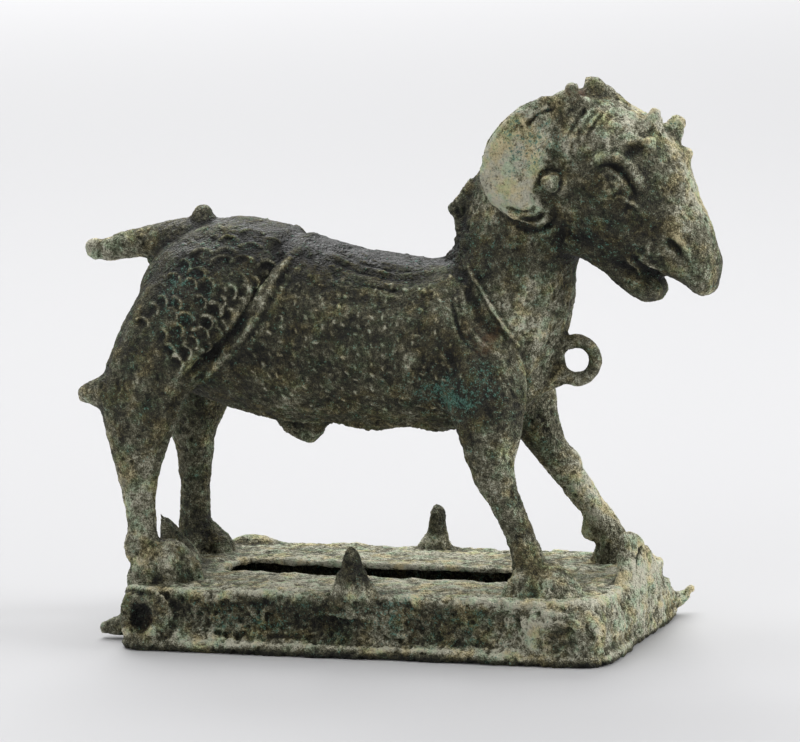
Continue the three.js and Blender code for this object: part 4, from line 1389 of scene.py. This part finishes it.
@dataclass
class Plinth(Casting):
    """The hollow box with its bosses, lugs and crusted walls."""

    def melting(self) -> tuple[list[Patch], list[Patch]]:
        """All of it is rounded off less."""
        return [], patches(((0, 0, 10), (400, 400, 400), 0.8))

    def marks(self) -> list[Stroke | Dent]:
        """The marks on the walls and along the top's edges, most of them on the near side.

        Returns:
            The marks, in drawing millimetres.
        """
        near = (NEAR,)
        marks = [
            # The arched rim of the hollow boss at the left.
            Stroke(((-78.7, 12), (-77.6, 16.6), (-74, 18.6), (-68.6, 18.8), (-64.2, 16.8), (-61.6, 12.8),
                    (-61, 7.6)), 1.0, 0.9, near),
            Dent((-71.4, -46, 10.6), (3.2, 5, 3.6), -2.4),
            Dent((-66.4, -46, 6), (2.2, 5, 1.8), 0.7),
            Dent((-76, -45, 5.4), (2.2, 5, 1.6), 0.6),
            Dent((-59.4, -45, 5.6), (1.5, 4, 1.5), 0.9),
            Dent((-47.8, -43.4, 5.6), (1.3, 4, 1.2), 0.9),
            # The crust's scalloped edge and the light ledge under it.
            Stroke(((-56, 12), (-52, 14.7), (-48.5, 16.1), (-43.5, 17), (-38.7, 15.5), (-34.8, 12.8),
                    (-31.6, 9.4), (-29.5, 14.3), (-22, 16.6), (-15.5, 15.5)), 1.1, 0.5, near, wear=0.95),
            Stroke(((-58, 3.8), (-40, 3.4), (-20, 3.5), (0, 3.3), (20, 3.4), (40, 3.6), (52, 3.8)), 0.8, 0.4,
                   wear=0.8),
            Stroke(((-56, 6), (-36, 5.6), (-14, 5.8)), 1.1, -0.5, near),
            Stroke(((14, 6.4), (30, 5.6), (50, 5.8)), 1.1, -0.5, near),
            # The shaded crease at the near end of the raised end wall.
            Stroke(((78.4, 33), (78.2, 27), (78.6, 21.6)), 0.9, -1.1, near, taper=0.0),
            # The front-right boss: folds over its recess and a light upright rib.
            Stroke(((56.4, 16), (55.8, 11), (56.2, 4)), 0.9, 0.5, near, wear=0.9),
            Stroke(((58.4, 15.4), (63, 16.6), (69, 15.6), (73.4, 11.8)), 0.9, 0.45, near, wear=0.9),
            Stroke(((59, 13.4), (63.4, 14.4), (68.6, 13.2), (71.6, 9.6)), 0.7, 0.25, near, wear=0.9),
            Stroke(((59.4, 12.4), (59, 8), (59.6, 4)), 0.9, -0.5, near, wear=0.7),
        ]
        # Hollows and knobs down the end wall, and worn spots along the top's edges.
        for y, z, rise in ((-33, 13, -1.3), (-24, 7, 0.9), (-14, 15, -1.1), (-4, 9, 1.0), (8, 14, -1.2),
                           (18, 7, 0.9), (28, 16, -1.0)):
            marks.append(Dent((81, y, z), (4, 4.6, 4.2), rise))
        for side in BOTH:
            for x, depth in ((-47, -0.9), (-30, 0.5), (-15, -0.7), (14, 0.5), (27, -0.9), (41, 0.5), (52, -0.6)):
                marks.append(Dent((x, side * 41.6, 19.4), (5.2, 2.4, 2.0), depth))
        for y, depth in ((-24, -0.8), (-12, 0.5), (4, -0.6), (18, 0.4), (30, -0.8)):
            marks.append(Dent((-76.6, y, 19.2), (2.4, 4.6, 2.0), depth))
        return marks

    def blooms(self) -> dict[Bloom, list[Patch]]:
        """Where the deposits lie, with painted light on the right end wall and painted shade in its crease and
        along the foot.
        """
        return {
            Bloom.POWDER_AND_SHADING: patches(
                ((0, 0, 21), (140, 90, 3.4), 1.15), ((-70, 8, 20), (18, 40, 8), -0.25),
                # The second patch lightens the right end wall: buff deposit, partly painted light from the
                # right.
                ((-70, -44, 11), (10, 8, 12), -0.35), ((84, 0, 18), (9, 90, 24), 1.5),
                # The first patch darkens the end wall's crease as painted shade.
                ((77, 18, 27), (4, 12, 7), -0.9), ((-52, -44, 6), (30, 8, 7), 0.55),
                ((-58, -44, 14), (16, 8, 8), 0.4), ((0, -45, 4.4), (90, 6, 2.2), 0.7),
                ((10, -44, 10), (10, 8, 12), 0.5), ((58, -44, 12), (16, 10, 12), 0.9),
                # Painted shade: a dark band along the bottom of the foot, on the near side and at the right end.
                ((0, -46, 0.6), (120, 12, 1.4), -1.2), ((80, 0, 0.4), (12, 90, 1.2), -1.4),
                ((6, -40, 28), (12, 8, 11), -1.1), ((6, 40, 29), (9, 8, 10), -0.9),
                ((40, -44, 10), (14, 8, 9), 0.35),
            ),
            Bloom.VERDIGRIS: patches(
                ((-35, -42, 11), (26, 8, 6), 0.7), ((12, -42, 14), (9, 8, 8), 0.9),
                ((35, -42, 10), (18, 8, 7), 0.45), ((78, 26, 14), (8, 10, 8), 0.6),
                ((0, 42, 10), (70, 8, 8), 0.5),
            ),
            Bloom.RUST: patches(
                ((-68, -42, 8), (10, 8, 10), 0.6), ((20, -42, 14), (12, 8, 8), 0.3),
            ),
        }

    def rough_places(self) -> list[Patch]:
        """The crusty long walls, end wall and boss, and the finer top."""
        return patches(
            ((-20, -42, 11), (60, 8, 8), 1.1), ((84, 0, 14), (10, 90, 18), 0.5),
            ((52, -36, 20), (20, 10, 5), 0.9), ((0, 42, 11), (70, 8, 8), 0.7), ((-5, 0, 20), (90, 44, 4), -0.4),
        )


# ---- The studio


@dataclass
class Studio:
    """Floor, light and camera. Angles in degrees, lengths in metres unless they say otherwise."""

    azimuth: float = 18.5
    elevation: float = 8.4
    roll: float = -1.5
    target_mm: Spot = (1.7, 0.0, 82.9)
    distance: float = 1.565
    lens: float = 225.0
    sensor: float = 36.0
    clip: Place = (0.05, 60.0)
    floor_reach: float = 14.0
    sky: float = 0.3
    # Each light's name, its place and aim, the length of its sides, and its power in watts.
    lamps: tuple[tuple[str, Spot, Spot, float, float], ...] = (
        ("overhead", (-0.4, 0.3, 1.7), (0.0, 0.0, 0.08), 1.4, 21.0),
        ("right", (1.6, 0.25, 0.8), (0.0, 0.0, 0.06), 0.9, 19.0),
        ("front", (-0.6, -1.6, 1.0), (0.0, 0.0, 0.08), 0.9, 4.0),
        ("backdrop", (-1.8, 4.0, 3.0), (-1.4, 3.0, 0.0), 3.5, 230.0),
    )

    def floor(self) -> None:
        """Lays the floor."""
        mesh = bpy.data.meshes.new("floor")
        reach = self.floor_reach
        mesh.from_pydata(
            [(-reach, -reach, 0), (reach, -reach, 0), (reach, reach, 0), (-reach, reach, 0)], [], [(0, 1, 2, 3)]
        )
        floor = bpy.data.objects.new("floor", mesh)
        bpy.context.collection.objects.link(floor)
        mesh.materials.append(PlainFloor().build())

    def lamp(self, name: str, place: Spot, aim: Spot, size: float, power: float) -> None:
        """Hangs a square soft light.

        Args:
            name: What the light is called.
            place: Where it hangs, in metres.
            aim: Where it looks, in metres.
            size: The length of its sides, in metres.
            power: Its power in watts.
        """
        light = bpy.data.lights.new(name, "AREA")
        light.size = size
        light.energy = power
        lamp = bpy.data.objects.new(name, light)
        bpy.context.collection.objects.link(lamp)
        lamp.location = place
        lamp.rotation_mode = "QUATERNION"
        lamp.rotation_quaternion = (Vector(aim) - Vector(place)).to_track_quat("-Z", "Y")

    def light(self) -> None:
        """Lights the set from overhead and the right, weakly from the front, and the floor behind."""
        world = bpy.data.worlds.new("studio")
        world.use_nodes = True
        background = world.node_tree.nodes["Background"]
        background.inputs["Color"].default_value = (1.0, 1.0, 1.0, 1.0)
        background.inputs["Strength"].default_value = self.sky
        bpy.context.scene.world = world
        for row in self.lamps:
            self.lamp(*row)
        bpy.context.scene.view_settings.view_transform = "Standard"

    def camera(self) -> None:
        """Sets the camera at the photograph's angle."""
        a, e, r = (math.radians(v) for v in (self.azimuth, self.elevation, self.roll))
        right = Vector((math.cos(a), math.sin(a), 0.0))
        up = Vector((-math.sin(a) * math.sin(e), math.cos(a) * math.sin(e), math.cos(e)))
        back = right.cross(up)
        rolled = (right * math.cos(r) + up * math.sin(r), up * math.cos(r) - right * math.sin(r))
        target = Vector((np.array(self.target_mm) - DRAWING_SHIFT) * MM)
        data = bpy.data.cameras.new("camera")
        data.lens = self.lens
        data.sensor_width = self.sensor
        data.clip_start, data.clip_end = self.clip
        camera = bpy.data.objects.new("camera", data)
        bpy.context.collection.objects.link(camera)
        turn = Matrix((rolled[0], rolled[1], back)).transposed().to_4x4()
        camera.matrix_world = Matrix.Translation(target + back * self.distance) @ turn
        bpy.context.scene.camera = camera

    def build(self) -> None:
        """Sets up the studio."""
        self.floor()
        self.light()
        self.camera()


def main() -> None:
    """Builds the pieces and the studio."""
    logging.basicConfig(level=logging.INFO, format="%(message)s")
    net = FINE_NET
    skin = Corrosion(
        lump_size=7.0, lump_height=1.7, grain_size=2.0, grain_height=1.35, pit_size=2.8, pit_depth=0.55
    )
    crust = Corrosion(
        lump_size=7.0, lump_height=2.2, grain_size=2.6, grain_height=2.7, pit_size=3.4, pit_depth=1.1
    )
    Ram("ram", "ram_casting", "bronze_ram", Patina("ram_patina"), skin, net).build()
    Plinth("plinth", "plinth_casting", "bronze_plinth", Patina("plinth_patina", level=0.44), crust, net).build()
    Studio().build()


if __name__ == "__main__":
    main()
